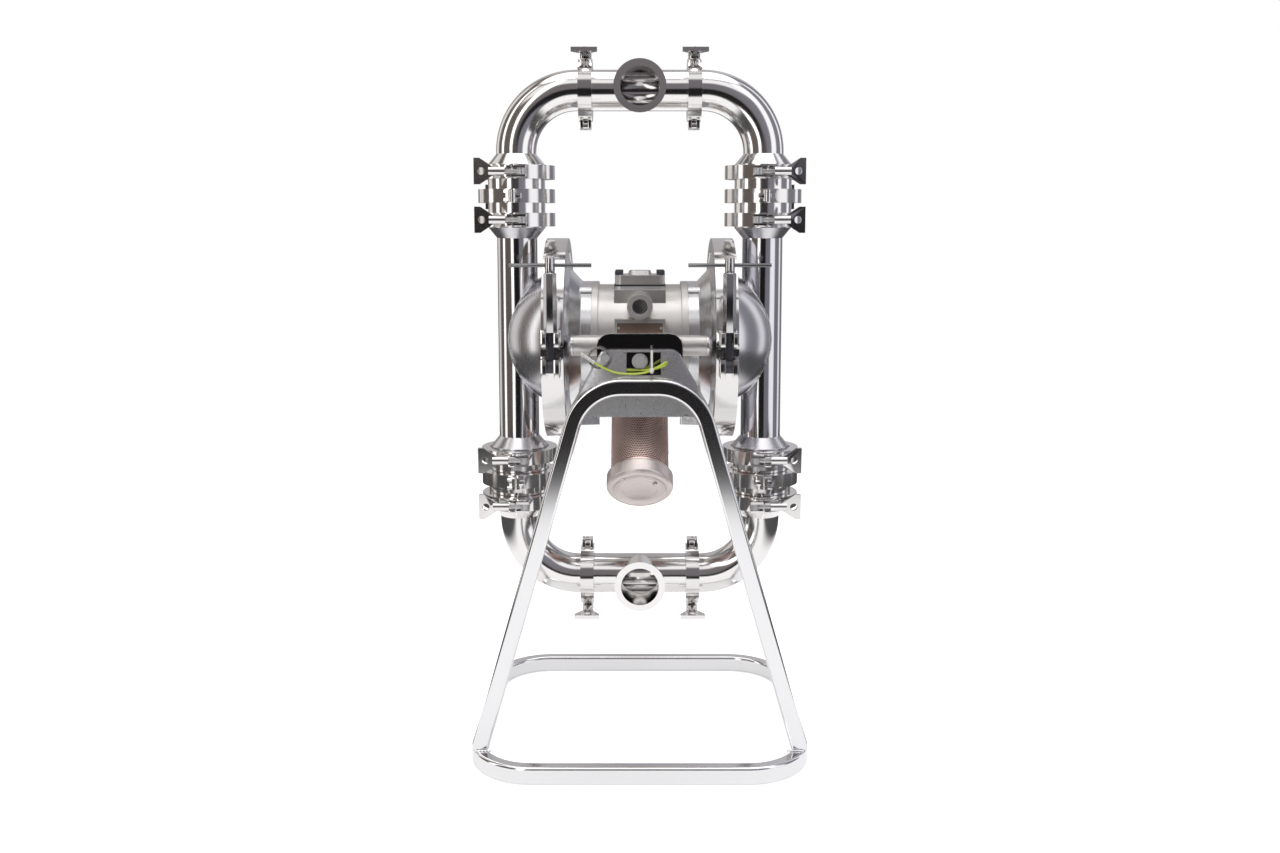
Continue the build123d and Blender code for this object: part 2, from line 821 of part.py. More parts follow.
def make_diaphragm():
    """Moulded diaphragm with a clamped rim and one rolled convolution."""
    low, high = -half_diaphragm, half_diaphragm
    top = convolution_height
    width = convolution_height + convolution_flank
    outline = [(stud_radius + fit, low), (convolution_radius - width, low),
               (convolution_radius, low + top), (convolution_radius + width, low),
               (chamber_rim_radius - gasket_inset, low), (chamber_rim_radius - gasket_inset, high),
               (convolution_radius + width, high), (convolution_radius, high + top),
               (convolution_radius - width, high), (stud_radius + fit, high)]
    return Pos(diaphragm_x, 0, axis_height) * along_x(turned(outline))


def make_plates():
    """Air-side and fluid-side plates that clamp the diaphragm's middle."""
    back = diaphragm_x - half_diaphragm
    front = diaphragm_x + half_diaphragm
    inner = tube(plate_radius, stud_radius + fit, back - plate_thickness, back)
    outline = [(0, front + stud_length / 2), (0, front + plate_thickness + plate_edge),
               (plate_radius / 2, front + plate_thickness + plate_edge / 2),
               (plate_radius, front + plate_edge), (plate_radius, front),
               (stud_radius + fit, front), (stud_radius + fit, front + stud_length / 2)]
    outer = turned(outline)
    return [Pos(0, 0, axis_height) * along_x(shape) for shape in (inner, outer)]


def make_shaft():
    """Shaft with a stud at each end for the diaphragm plates."""
    shoulder = diaphragm_x - half_diaphragm - plate_thickness
    end = diaphragm_x + half_diaphragm + stud_length / 2
    bar = rod(shaft_radius, -shoulder, shoulder) + rod(stud_radius, -end, end)
    return Pos(0, 0, axis_height) * along_x(bar)


# ---------------------------------------------------------------- band clamps, made at +X
band_outer = chamber_rim_radius + band_wall
band_bolt_y = band_outer + band_bolt_standoff
band_hinge_y = band_outer + band_knuckle_radius + knuckle_gap


def band_ring():
    """Grooved ring round both chamber rims, closed all round."""
    groove = half_diaphragm + chamber_rim_thickness + seat_gap
    rim = chamber_rim_radius + seat_gap
    lip = chamber_rim_radius - band_lip
    reach = groove + (rim - lip) * cone_slope
    half = band_width / 2
    return along_x(turned([
        (lip, reach), (lip, half), (band_outer, half), (band_outer, -half), (lip, -half),
        (lip, -reach), (rim, -groove), (rim, groove),
    ]))


def band_ears(z_range):
    """Two ears on the front that the swing bolt passes between."""
    ears = []
    inner = band_ear_slot / 2
    for side in (1, -1):
        span = sorted((side * inner, side * (inner + band_ear_thickness)))
        ears.append(block(span, (-band_bolt_y - band_ear_reach, -band_outer + band_wall), z_range))
    return ears


def band_knuckle(spans, side):
    """Hinge knuckles at the rear with their webs, side 1 above and -1 below."""
    shapes = []
    for low, high in spans:
        web = block((low, high), (band_outer - band_wall / 2, band_hinge_y),
                    sorted((side * band_split / 2, side * 2 * band_knuckle_radius)))
        turn = Pos(0, band_hinge_y, 0) * along_x(rod(band_knuckle_radius, low, high))
        shapes.append(web + turn)
    return shapes


def make_band_half(side):
    """Upper (side 1) or lower (side -1) half of a band clamp."""
    span = 2 * band_outer
    keep = block((-span, span), (-span, span), sorted((side * band_split / 2, side * span)))
    half = band_ring() & keep
    for ear in band_ears(band_upper_ear if side > 0 else band_lower_ear):
        half += ear - Rot(0, 90, 0) * Cylinder(band_outer - band_wall / 2, 2 * band_width)
    edge = band_width / 2
    middle = band_knuckle_middle / 2
    if side > 0:
        spans = [(-edge, -middle - knuckle_gap), (middle + knuckle_gap, edge)]
    else:
        spans = [(-middle, middle)]
    for knuckle in band_knuckle(spans, side):
        half += knuckle
    half -= Pos(0, band_hinge_y, 0) * along_x(rod(band_pin_radius, -edge, edge))
    if side < 0:
        half -= Pos(0, -band_bolt_y, band_pin_z) * along_x(rod(band_pin_radius, -edge, edge))
    return Pos(diaphragm_x, 0, axis_height) * half


def make_band_pins():
    """Hinge pin at the rear and the swing bolt's pin at the front."""
    edge = band_width / 2
    swing_edge = band_ear_slot / 2 + band_ear_thickness
    hinge = Pos(0, band_hinge_y, 0) * along_x(rod(band_pin_radius, -edge, edge))
    swing = along_x(rod(band_pin_radius, -swing_edge, swing_edge))
    pins = [hinge, Pos(0, -band_bolt_y, band_pin_z) * swing]
    return [Pos(diaphragm_x, 0, axis_height) * pin for pin in pins]


def make_band_bolt():
    """Upright swing bolt with its eye round the pin."""
    half = band_ear_slot / 2 - seat_gap
    place = Pos(0, -band_bolt_y, band_pin_z)
    eye = place * along_x(rod(band_eye_radius, -half, half))
    hole = place * along_x(rod(band_pin_radius, -half, half))
    shank = Pos(0, -band_bolt_y, 0) * rod(band_bolt_radius, band_pin_z, band_stud_top)
    return Pos(diaphragm_x, 0, axis_height) * (eye + shank - hole)


def make_tnut():
    """Long hex nut with a cross bar, standing on the upper ears."""
    low = band_upper_ear[1]
    sleeve = Pos(0, 0, low) * extrude(
        RegularPolygon(tnut_across_flats / 2, 6, major_radius=False), tnut_top - low)
    bar = Pos(0, 0, tnut_top - tbar_drop) * along_x(rod(tbar_radius, -tbar_length / 2,
                                                        tbar_length / 2))
    bore = rod(band_bolt_radius + fit, low, band_stud_top + slip)
    place = Pos(diaphragm_x, -band_bolt_y, axis_height)
    return place * (sleeve + bar - bore)


# ---------------------------------------------------------------- centre section
def make_body():
    """Cast air motor body between the inner chambers."""
    ring_start = body_half_length - body_ring_length
    body = along_x(rod(body_radius, -body_half_length, body_half_length))
    for side in (1, -1):
        body += along_x(rod(body_ring_radius, *sorted((side * ring_start,
                                                       side * body_half_length))))
    half = front_pad_half_width
    body += block((-half, half), (-front_pad_y, 0), front_pad_z)
    body += block((-rear_pad_half_width, rear_pad_half_width), (0, saddle_face_y), front_pad_z)
    body += block((-plate_boss_half_width, plate_boss_half_width), (-plate_boss_y, 0),
                  plate_boss_z)
    body += Pos(0, 0, inlet_z) * Rot(90, 0, 0) * rod(inlet_boss_radius, 0, inlet_boss_y)
    width, depth = cover_size
    pad = ((-width / 2, width / 2), (cover_y - depth / 2, cover_y + depth / 2))
    body += block(*pad, (0, cover_pad_z))
    body -= block(*pad, (cover_pad_z, body_ring_radius + slip))
    drop = Pos(0, muffler_root_y, muffler_root_z) * Rot(180 - muffler_tilt, 0, 0)
    body += drop * rod(exhaust_boss_radius, -exhaust_boss_radius, exhaust_boss_reach)
    body -= drop * rod(nipple_radius, -nipple_engagement, muffler_start)
    body -= Pos(0, 0, inlet_z) * Rot(90, 0, 0) * rod(
        inlet_thread_radius, inlet_boss_y - inlet_thread_depth, inlet_boss_y)
    body -= along_x(rod(shaft_radius + hub_clearance, -body_half_length, body_half_length))
    for side in (1, -1):
        body -= along_x(rod(bushing_radius, *sorted((
            side * (body_half_length - bushing_length), side * body_half_length))))
        for angle in boss_angles():
            place = Rot(0, 0, angle) * Pos(chamber_bolt_pitch, 0, 0)
            end = dish_depth_x - chamber_bolt_length
            body -= along_x(place * rod(chamber_bolt_radius, end, body_half_length), side)
    return body


def make_bushing():
    """Shaft bushing at +X."""
    start = body_half_length - bushing_length
    return along_x(tube(bushing_radius, shaft_radius + fit, start, body_half_length - seal_length))


def make_seal():
    """Shaft seal outside the bushing at +X."""
    return along_x(tube(bushing_radius, shaft_radius + fit, body_half_length - seal_length,
                        body_half_length))


def make_nameplate():
    """Bare name plate and its two screws."""
    width, thickness, height = nameplate_size
    plate = block((-width / 2, width / 2), (-plate_boss_y - thickness, -plate_boss_y),
                  (nameplate_z - height / 2, nameplate_z + height / 2))
    screws = []
    for side in (1, -1):
        x = side * (width / 2 - 2 * nameplate_screw_radius)
        turn = Pos(x, -plate_boss_y - thickness, nameplate_z) * Rot(90, 0, 0)
        screws.append(turn * rod(nameplate_screw_radius, 0, thickness))
    return plate, screws


def make_valve_body():
    """Air valve block with the spool's tube along its front."""
    half = valve_block_half_width
    body = block((-half, half), (-saddle_face_y, -front_pad_y), front_pad_z)
    end = valve_tube_half_length
    body += Pos(0, -valve_y, 0) * along_x(rod(valve_tube_radius, -end, end))
    return body - Pos(0, -valve_y, 0) * along_x(rod(spool_bore_radius, -end, end))


def make_valve_cap():
    """Domed end cap of the valve tube at +X."""
    reach = valve_cap_reach
    base = rod(valve_tube_radius, 0, reach)
    dome_part = fillet(base.edges().group_by(Axis.Z)[-1], reach - valve_cap_land)
    return Pos(valve_tube_half_length, -valve_y, 0) * along_x(dome_part)


def make_spool():
    """Spool valve with lands and waists."""
    land = spool_bore_radius - fit
    outline = [(0, -spool_half_length)]
    pitch = (2 * spool_half_length - spool_land) / (spool_lands - 1)
    for index in range(spool_lands):
        start = -spool_half_length + index * pitch
        outline += [(land, start), (land, start + spool_land)]
        if index < spool_lands - 1:
            outline += [(spool_neck_radius, start + spool_land),
                        (spool_neck_radius, start + pitch)]
    outline.append((0, spool_half_length))
    return Pos(0, -valve_y, 0) * along_x(turned(outline))


def cover_slab(low, thickness, inset=0.0):
    """Rounded rectangular layer of the pilot cover."""
    width, depth = cover_size
    outline = RectangleRounded(width - 2 * inset, depth - 2 * inset, cover_corner)
    return Pos(0, cover_y, low) * extrude(outline, thickness)


def cover_bolt_places():
    """Places of the four cover bolts."""
    dx, dy = cover_bolt_spacing
    return [Pos(sx * dx / 2, cover_y + sy * dy / 2, 0) for sx in (1, -1) for sy in (1, -1)]


def make_cover():
    """Pilot cover in layers: base plate, gasket, cover with a hump, and the bolts."""
    z0 = cover_pad_z
    z1 = z0 + cover_plate_thickness
    z2 = z1 + cover_gasket_thickness
    z3 = z2 + cover_thickness
    width, depth, rise = cover_hump
    plate = cover_slab(z0, cover_plate_thickness)
    gasket = cover_slab(z1, cover_gasket_thickness, fit)
    hump = Pos(0, cover_y, z3) * extrude(RectangleRounded(width, depth, cover_corner), rise,
                                         taper=cover_hump_taper)
    cover = cover_slab(z2, cover_thickness, cover_inset) + hump
    bolts = []
    for place in cover_bolt_places():
        head = rod(cover_head_radius, z3, z3 + cover_head_height)
        bolts.append(place * (head + rod(cover_bolt_radius, z0, z3)))
        hole = place * rod(cover_bolt_radius, z0, z3)
        plate -= hole
        gasket -= hole
        cover -= hole
    return plate, gasket, cover, bolts


# ---------------------------------------------------------------- muffler
def on_exhaust(solid):
    """Set a solid made along +Z on the slanted exhaust axis."""
    turn = Rot(180 - muffler_tilt, 0, 0)
    return Pos(0, muffler_root_y, axis_height + muffler_root_z) * turn * solid


def make_nipple():
    """Pipe nipple between the body and the muffler."""
    bore = nipple_radius - nipple_wall
    return on_exhaust(tube(nipple_radius, bore, -nipple_engagement,
                           muffler_start + muffler_head))


def make_sleeve():
    """Muffler sleeve, closed at its head and open at the cap."""
    shell = tube(muffler_radius, muffler_radius - muffler_wall, muffler_start, muffler_cap_start)
    head = tube(muffler_radius, nipple_radius, muffler_start, muffler_start + muffler_head)
    return on_exhaust(shell + head)


def make_cap():
    """Cast muffler cap with a bevelled rim and a raised centre."""
    start, length = muffler_cap_start, muffler_cap_length
    end = start + length
    radius = muffler_cap_radius
    floor = end - muffler_cap_recess
    rim = radius - 2 * muffler_cap_bevel - muffler_cap_recess
    return on_exhaust(turned([
        (0, start), (radius, start), (radius, end - muffler_cap_bevel),
        (radius - muffler_cap_bevel, end), (radius - 2 * muffler_cap_bevel, end),
        (rim, floor), (muffler_cap_boss, floor), (muffler_cap_boss - muffler_cap_recess, end),
        (0, end),
    ]))


# ---------------------------------------------------------------- assembly
def build_stand():
    """Base, frames, gussets, saddles and their bolts; the rear is the front mirrored."""
    parts["base_loop"] = make_base()
    frame = make_frame()
    gusset = make_gusset(frame)
    saddle = make_mount_plate() - mount_bolt_hole(fit) + make_hood()
    fasteners = [make_mount_bolt(), make_mount_washer()]
    screw = make_earth_screw()
    parts["front_frame"] = frame
    parts["front_saddle"] = saddle + make_earth_boss() - screw
    parts["earth_wire"] = make_earth_wire()
    parts["earth_lug"] = make_earth_lug()
    groups["small_screws"].append(screw)
    parts["rear_frame"] = mirror(frame, Plane.XZ)
    parts["rear_saddle"] = mirror(saddle, Plane.XZ)
    parts["arch_gussets"] = solids_of([gusset, mirror(gusset, Plane.XZ)])
    parts["mount_bolts_and_washers"] = solids_of(
        fasteners + [mirror(shape, Plane.XZ) for shape in fasteners])


def both_ends(shape):
    """A solid made at the outlet's height 0 and its mirror image for the inlet."""
    above = Pos(0, 0, outlet_z) * shape
    below = Pos(0, 0, inlet_port_z) * mirror(shape, Plane.XY)
    return above, below


def clamp_pieces(size):
    """Node names and solids of one two-piece clamp."""
    return {
        "clamp_nut_halves": size.half(-1),
        "clamp_bolt_halves": size.half(1),
        "clamp_hinge_pins": size.pins(),
        "clamp_swing_bolts": size.bolt(),
        "clamp_wing_nuts": size.wing_nut(),
    }


def build_manifolds():
    """Tees, elbows, their gaskets and their clamps."""
    parts["outlet_tee"] = Pos(0, 0, outlet_z) * make_tee()
    parts["inlet_tee"] = Pos(0, 0, inlet_port_z) * make_tee()
    elbow = make_elbow()
    for side, name in ((1, "right"), (-1, "left")):
        above, below = both_ends(mirrored(elbow, side))
        parts["outlet_elbow_" + name] = above
        parts["inlet_elbow_" + name] = below
    for name, piece in clamp_pieces(port_clamp).items():
        for x in (tee_half_length, -tee_half_length):
            groups[name] += both_ends(place_port_clamp(piece, x))
    gasket = make_port_gasket()
    for side in (1, -1):
        groups["clamp_gaskets"] += both_ends(mirrored(gasket, side))


def build_stacks():
    """Spools, seats, cages, balls, gaskets and clamps of the four ball valve stacks."""
    pieces = clamp_pieces(stack_clamp)
    for side, side_name in ((-1, "left"), (1, "right")):
        for z_start, end_name in ((top_stack_z, "outlet"), (bottom_stack_z, "inlet")):
            place = Pos(side * riser_x, 0, 0)
            groups["stack_spools"] += [place * shape for shape in make_spools(z_start)]
            groups["clamp_gaskets"] += [place * ring for ring in make_stack_gaskets(z_start)]
            groups["valve_seats"].append(place * make_seat(z_start))
            groups["ball_cages"].append(place * make_cage(z_start))
            ball = place * Pos(0, 0, ball_centre(z_start)) * Sphere(ball_radius)
            parts["ball_" + end_name + "_" + side_name] = ball
            for index, z in enumerate(stack_joints(z_start)):
                turn = Rot(0, 0, 180) if index == 1 else Rot(0, 0, 0)
                for name, piece in pieces.items():
                    piece = turn * piece
                    if (side > 0) != (index == 1):
                        piece = mirror(piece, Plane.YZ)
                    groups[name].append(Pos(side * riser_x, 0, z) * piece)


def build_chambers():
    """Chambers, diaphragms, plates, shaft and band clamps."""
    made = {
        "outer_chamber": make_outer_chamber(),
        "inner_chamber": make_inner_chamber(),
        "diaphragm": make_diaphragm(),
        "band_clamp_upper": make_band_half(1),
        "band_clamp_lower": make_band_half(-1),
        "t_nut": make_tnut(),
    }
    for name, shape in made.items():
        parts[name + "_left"] = mirrored(shape, -1)
        parts[name + "_right"] = shape
    inner, outer = make_plates()
    parts["inner_plates"] = solids_of([inner, mirror(inner, Plane.YZ)])
    parts["outer_plates"] = solids_of([outer, mirror(outer, Plane.YZ)])
    parts["diaphragm_shaft"] = make_shaft()
    pins = make_band_pins()
    bolt = make_band_bolt()
    groups["clamp_hinge_pins"] += pins + [mirror(pin, Plane.YZ) for pin in pins]
    parts["band_clamp_bolts"] = solids_of([bolt, mirror(bolt, Plane.YZ)])
    screws = chamber_bolts()
    parts["chamber_bolts"] = solids_of(screws + [mirror(screw, Plane.YZ) for screw in screws])


def build_centre():
    """Centre section with its valve, cover, name plate, bushings and muffler."""
    up = Pos(0, 0, axis_height)
    bolt_hole = mount_bolt_hole(0)
    parts["center_section"] = up * make_body() - mirror(bolt_hole, Plane.XZ)
    parts["air_valve_body"] = up * make_valve_body() - bolt_hole
    cap = make_valve_cap()
    parts["air_valve_end_caps"] = up * solids_of([cap, mirror(cap, Plane.YZ)])
    parts["air_valve_spool"] = up * make_spool()
    for name, shape in (("shaft_bushings", make_bushing()), ("shaft_seals", make_seal())):
        parts[name] = up * solids_of([shape, mirror(shape, Plane.YZ)])
    plate, screws = make_nameplate()
    for screw in screws:
        plate -= screw
    parts["nameplate"] = up * plate
    groups["small_screws"] += [up * screw for screw in screws]
    base, gasket, cover, bolts = make_cover()
    parts["pilot_cover_plate"] = up * base
    parts["pilot_cover_gasket"] = up * gasket
    parts["pilot_cover"] = up * cover
    parts["pilot_cover_bolts"] = up * solids_of(bolts)
    parts["muffler_nipple"] = make_nipple()
    parts["muffler_sleeve"] = make_sleeve()
    parts["muffler_cap"] = make_cap()


build_stand()
build_manifolds()
build_stacks()
build_chambers()
build_centre()
for name, group in groups.items():
    parts[name] = solids_of(group)

os.makedirs("parts", exist_ok=True)
for name, shape in parts.items():
    export_step(shape, "parts/" + name + ".step")
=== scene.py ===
"""Looks of the air operated double diaphragm pump: finishes, fine pieces, light and camera."""
from __future__ import annotations

import json
import logging
import math
from dataclasses import dataclass, replace
from enum import Enum
from typing import Sequence

import bmesh
import bpy
from mathutils import Matrix, Vector

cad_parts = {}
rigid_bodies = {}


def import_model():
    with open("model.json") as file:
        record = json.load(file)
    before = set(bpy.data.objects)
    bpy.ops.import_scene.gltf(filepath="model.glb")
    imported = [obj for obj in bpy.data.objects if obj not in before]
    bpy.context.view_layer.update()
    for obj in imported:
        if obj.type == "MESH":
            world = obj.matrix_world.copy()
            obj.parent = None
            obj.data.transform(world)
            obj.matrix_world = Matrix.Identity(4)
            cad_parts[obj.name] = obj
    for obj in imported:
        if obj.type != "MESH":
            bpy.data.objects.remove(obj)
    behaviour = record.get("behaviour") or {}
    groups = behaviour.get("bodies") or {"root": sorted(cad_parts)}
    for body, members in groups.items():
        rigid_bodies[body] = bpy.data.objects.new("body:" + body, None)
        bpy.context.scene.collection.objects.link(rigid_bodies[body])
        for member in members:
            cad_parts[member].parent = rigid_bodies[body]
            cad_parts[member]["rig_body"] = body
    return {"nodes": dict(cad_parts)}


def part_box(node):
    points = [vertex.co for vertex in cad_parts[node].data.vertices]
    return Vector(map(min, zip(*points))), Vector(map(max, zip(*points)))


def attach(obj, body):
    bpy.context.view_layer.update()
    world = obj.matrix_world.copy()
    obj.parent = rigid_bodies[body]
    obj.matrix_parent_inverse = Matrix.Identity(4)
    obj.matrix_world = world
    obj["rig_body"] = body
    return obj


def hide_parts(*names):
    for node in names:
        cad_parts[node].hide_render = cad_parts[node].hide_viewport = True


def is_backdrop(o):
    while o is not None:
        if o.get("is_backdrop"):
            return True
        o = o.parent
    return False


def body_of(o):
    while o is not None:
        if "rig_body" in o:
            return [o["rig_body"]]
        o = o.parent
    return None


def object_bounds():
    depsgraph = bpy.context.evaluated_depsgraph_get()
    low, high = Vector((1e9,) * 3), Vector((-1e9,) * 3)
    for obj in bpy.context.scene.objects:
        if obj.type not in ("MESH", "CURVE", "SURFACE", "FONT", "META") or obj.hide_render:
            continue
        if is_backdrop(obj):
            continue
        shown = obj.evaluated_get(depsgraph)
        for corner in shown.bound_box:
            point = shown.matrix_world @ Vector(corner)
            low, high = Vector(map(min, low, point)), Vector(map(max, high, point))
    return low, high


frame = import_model()

LOG = logging.getLogger("diaphragm_pump")
ROOT_BODY = "pump"
SIDES = ((-1.0, "left"), (1.0, "right"))
AXIS_HEIGHT = 0.513
RISER_X = 0.156

Point = Sequence[float]
Span = tuple[float, float]
Colour = tuple[float, float, float]
Shape = bmesh.types.BMesh
Tree = bpy.types.NodeTree
Node = bpy.types.Node
Socket = bpy.types.NodeSocket


# ---------------------------------------------------------------- shader nodes
def add_node(tree: Tree, kind: str, inputs: dict[str | int, object] | None = None,
             **options: object) -> Node:
    """Add a shader node.

    Args:
        tree: node tree to add it to.
        kind: its type, without the leading ShaderNode.
        inputs: the socket or value of each input, by name or number.
        options: its own settings, made before its inputs.

    Returns:
        The node.
    """
    node = tree.nodes.new(f"ShaderNode{kind}")
    for option, value in options.items():
        setattr(node, option, value)
    for label, value in (inputs or {}).items():
        if isinstance(value, Socket):
            tree.links.new(value, node.inputs[label])
        else:
            node.inputs[label].default_value = value
    return node


def add_math(tree: Tree, operation: str, *values: Socket | float) -> Socket:
    """Return the output of a new Math node with these inputs."""
    return add_node(tree, "Math", dict(enumerate(values)), operation=operation).outputs["Value"]


def add_distance(tree: Tree, first: Socket, second: Socket) -> Socket:
    """Return the root of the sum of two squares."""
    squares = [add_math(tree, "MULTIPLY", value, value) for value in (first, second)]
    return add_math(tree, "SQRT", add_math(tree, "ADD", *squares))


def add_ramp(tree: Tree, value: Socket, span: Span, ends: Span = (0.0, 1.0),
             smooth: bool = True) -> Socket:
    """Add a clamped step from one value to another.

    Args:
        tree: node tree to add it to.
        value: socket that is ramped.
        span: values where the step starts and ends.
        ends: output before and after the step.
        smooth: whether the step eases in and out.

    Returns:
        The output.
    """
    inputs = {"Value": value, "From Min": span[0], "From Max": span[1], "To Min": ends[0],
              "To Max": ends[1]}
    kind = "SMOOTHSTEP" if smooth else "LINEAR"
    return add_node(tree, "MapRange", inputs, interpolation_type=kind).outputs["Result"]


def mix_colours(tree: Tree, factor: Socket, first: Socket | Colour, second: Colour) -> Socket:
    """Add a mix of two colours.

    Args:
        tree: node tree to add it to.
        factor: how much of the second one shows.
        first: the first colour, or its socket.
        second: the second colour.

    Returns:
        The output.
    """
    ground = first if isinstance(first, Socket) else (*first, 1.0)
    inputs = {"Factor": factor, "A": ground, "B": (*second, 1.0)}
    return add_node(tree, "Mix", inputs, data_type="RGBA").outputs["Result"]


def split_vector(tree: Tree, vector: Socket) -> tuple[Socket, ...]:
    """Return the X, Y and Z of a vector."""
    return tuple(add_node(tree, "SeparateXYZ", {"Vector": vector}).outputs)


# ---------------------------------------------------------------- node groups
@dataclass
class NodeGroups:
    """Shader node groups that several finishes share, each built once."""

    fine_detail: float = 4.0
    broad_detail: float = 2.0
    grain_roughness: float = 0.6
    turn_stretch: float = 0.004
    bevel_samples: int = 4
    # Gain of the edge mask that paints a highlight into the colour of every edge.
    edge_mask_gain: float = 6.0
    soil_scale: float = 38.0
    soil_detail: float = 5.0
    soil_span: Span = (0.45, 0.75)
    soil_underneath: float = 0.25

    def __post_init__(self) -> None:
        """Build the groups."""
        self.grain = self._grain()
        self.turned = self._turned()
        self.edge_round_and_highlight = self._edge_round_and_highlight()
        self.soil = self._soil()

    @staticmethod
    def _new(name: str, inputs: Sequence[str],
             outputs: Sequence[str]) -> tuple[Tree, Node, Node]:
        """Make an empty group.

        Args:
            name: name of the group.
            inputs: names of its inputs.
            outputs: names of its outputs.

        Returns:
            The group, its Group Input node and its Group Output node.
        """
        group = bpy.data.node_groups.new(name, "ShaderNodeTree")
        for way, labels in (("INPUT", inputs), ("OUTPUT", outputs)):
            for label in labels:
                kind = "Vector" if label in ("Vector", "Normal") else "Float"
                group.interface.new_socket(label, in_out=way, socket_type=f"NodeSocket{kind}")
        return group, group.nodes.new("NodeGroupInput"), group.nodes.new("NodeGroupOutput")

    def _grain(self) -> Tree:
        """Make the fine working marks and slow unevenness of a metal or moulded surface.

        Returns:
            The group.
        """
        group, start, end = self._new("surface_grain", ("Vector", "Fine scale", "Broad scale"),
                                      ("Fine", "Broad"))
        for label, detail in (("Fine", self.fine_detail), ("Broad", self.broad_detail)):
            noise = add_node(group, "TexNoise", {
                "Vector": start.outputs["Vector"], "Scale": start.outputs[f"{label} scale"],
                "Detail": detail, "Roughness": self.grain_roughness})
            group.links.new(noise.outputs["Fac"], end.inputs[label])
        return group

    def _turned(self) -> Tree:
        """Make coordinates that run round the shaft's axis, for marks left by turning.

        Returns:
            The group.
        """
        group, start, end = self._new("turned_lines", ("Vector",), ("Vector",))
        x, y, z = split_vector(group, start.outputs["Vector"])
        lower = add_math(group, "SUBTRACT", z, AXIS_HEIGHT)
        angle = add_math(group, "ARCTAN2", y, lower)
        join = add_node(group, "CombineXYZ", {
            "X": x, "Y": add_distance(group, y, lower),
            "Z": add_math(group, "MULTIPLY", angle, self.turn_stretch)})
        group.links.new(join.outputs["Vector"], end.inputs["Vector"])
        return group

    def _edge_round_and_highlight(self) -> Tree:
        """Make rounded edges, and a mask of the edges where a highlight is painted into the
        colour.

        Returns:
            The group.
        """
        group, start, end = self._new("rounded_edges_highlight_group", ("Radius", "Noise"), ("Edge", "Normal"))
        bevel = add_node(group, "Bevel", {"Radius": start.outputs["Radius"]},
                         samples=self.bevel_samples)
        plain = add_node(group, "NewGeometry").outputs["Normal"]
        dot = add_node(group, "VectorMath", {0: bevel.outputs["Normal"], 1: plain},
                       operation="DOT_PRODUCT")
        # Edge mask: where the rounded normal bends away, the colour later gets a painted
        # highlight.
        bend = add_math(group, "SUBTRACT", 1.0, dot.outputs["Value"])
        strong = add_math(group, "MULTIPLY", bend, self.edge_mask_gain)
        broken = add_math(group, "MULTIPLY", strong, start.outputs["Noise"])
        clamp = add_node(group, "Clamp", {"Value": broken})
        group.links.new(clamp.outputs["Result"], end.inputs["Edge"])
        group.links.new(bevel.outputs["Normal"], end.inputs["Normal"])
        return group

    def _soil(self) -> Tree:
        """Make light handling marks and dust, heavier on what faces up.

        Returns:
            The group.
        """
        group, start, end = self._new("light_soil", ("Vector", "Amount"), ("Mask",))
        noise = add_node(group, "TexNoise", {
            "Vector": start.outputs["Vector"], "Scale": self.soil_scale,
            "Detail": self.soil_detail})
        spots = add_ramp(group, noise.outputs["Fac"], self.soil_span, smooth=False)
        facing = split_vector(group, add_node(group, "NewGeometry").outputs["Normal"])
        up = add_math(group, "MAXIMUM", facing[2], self.soil_underneath)
        mask = add_math(group, "MULTIPLY", spots, up)
        scaled = add_math(group, "MULTIPLY", mask, start.outputs["Amount"])
        group.links.new(scaled, end.inputs["Mask"])
        return group


GROUPS = NodeGroups()


# ---------------------------------------------------------------- finishes
class Grain(Enum):
    """Direction in which a surface was worked."""

    EVEN = "even"
    ALONG_X = "along_x"
    ALONG_Z = "along_z"
    TURNED_X = "turned_x"


GRAIN_STRETCH: dict[Grain, Point] = {
    Grain.ALONG_X: (0.03, 1.0, 1.0),
    Grain.ALONG_Z: (1.0, 1.0, 0.03),
}
GRAIN_SPAN = (0.6, 1.4)
LEAST_ROUGHNESS = 0.02
SOIL_ROUGHNESS = 0.3
SOIL_TONE = 0.72
RIPPLE_HEIGHT = 0.002


@dataclass(frozen=True)
class Marks:
    """Sockets of a surface's marks: its grain, the edge mask of its painted highlight, rounded
    normal and soil.
    """

    fine: Socket
    broad: Socket
    edge: Socket
    normal: Socket
    soil: Socket


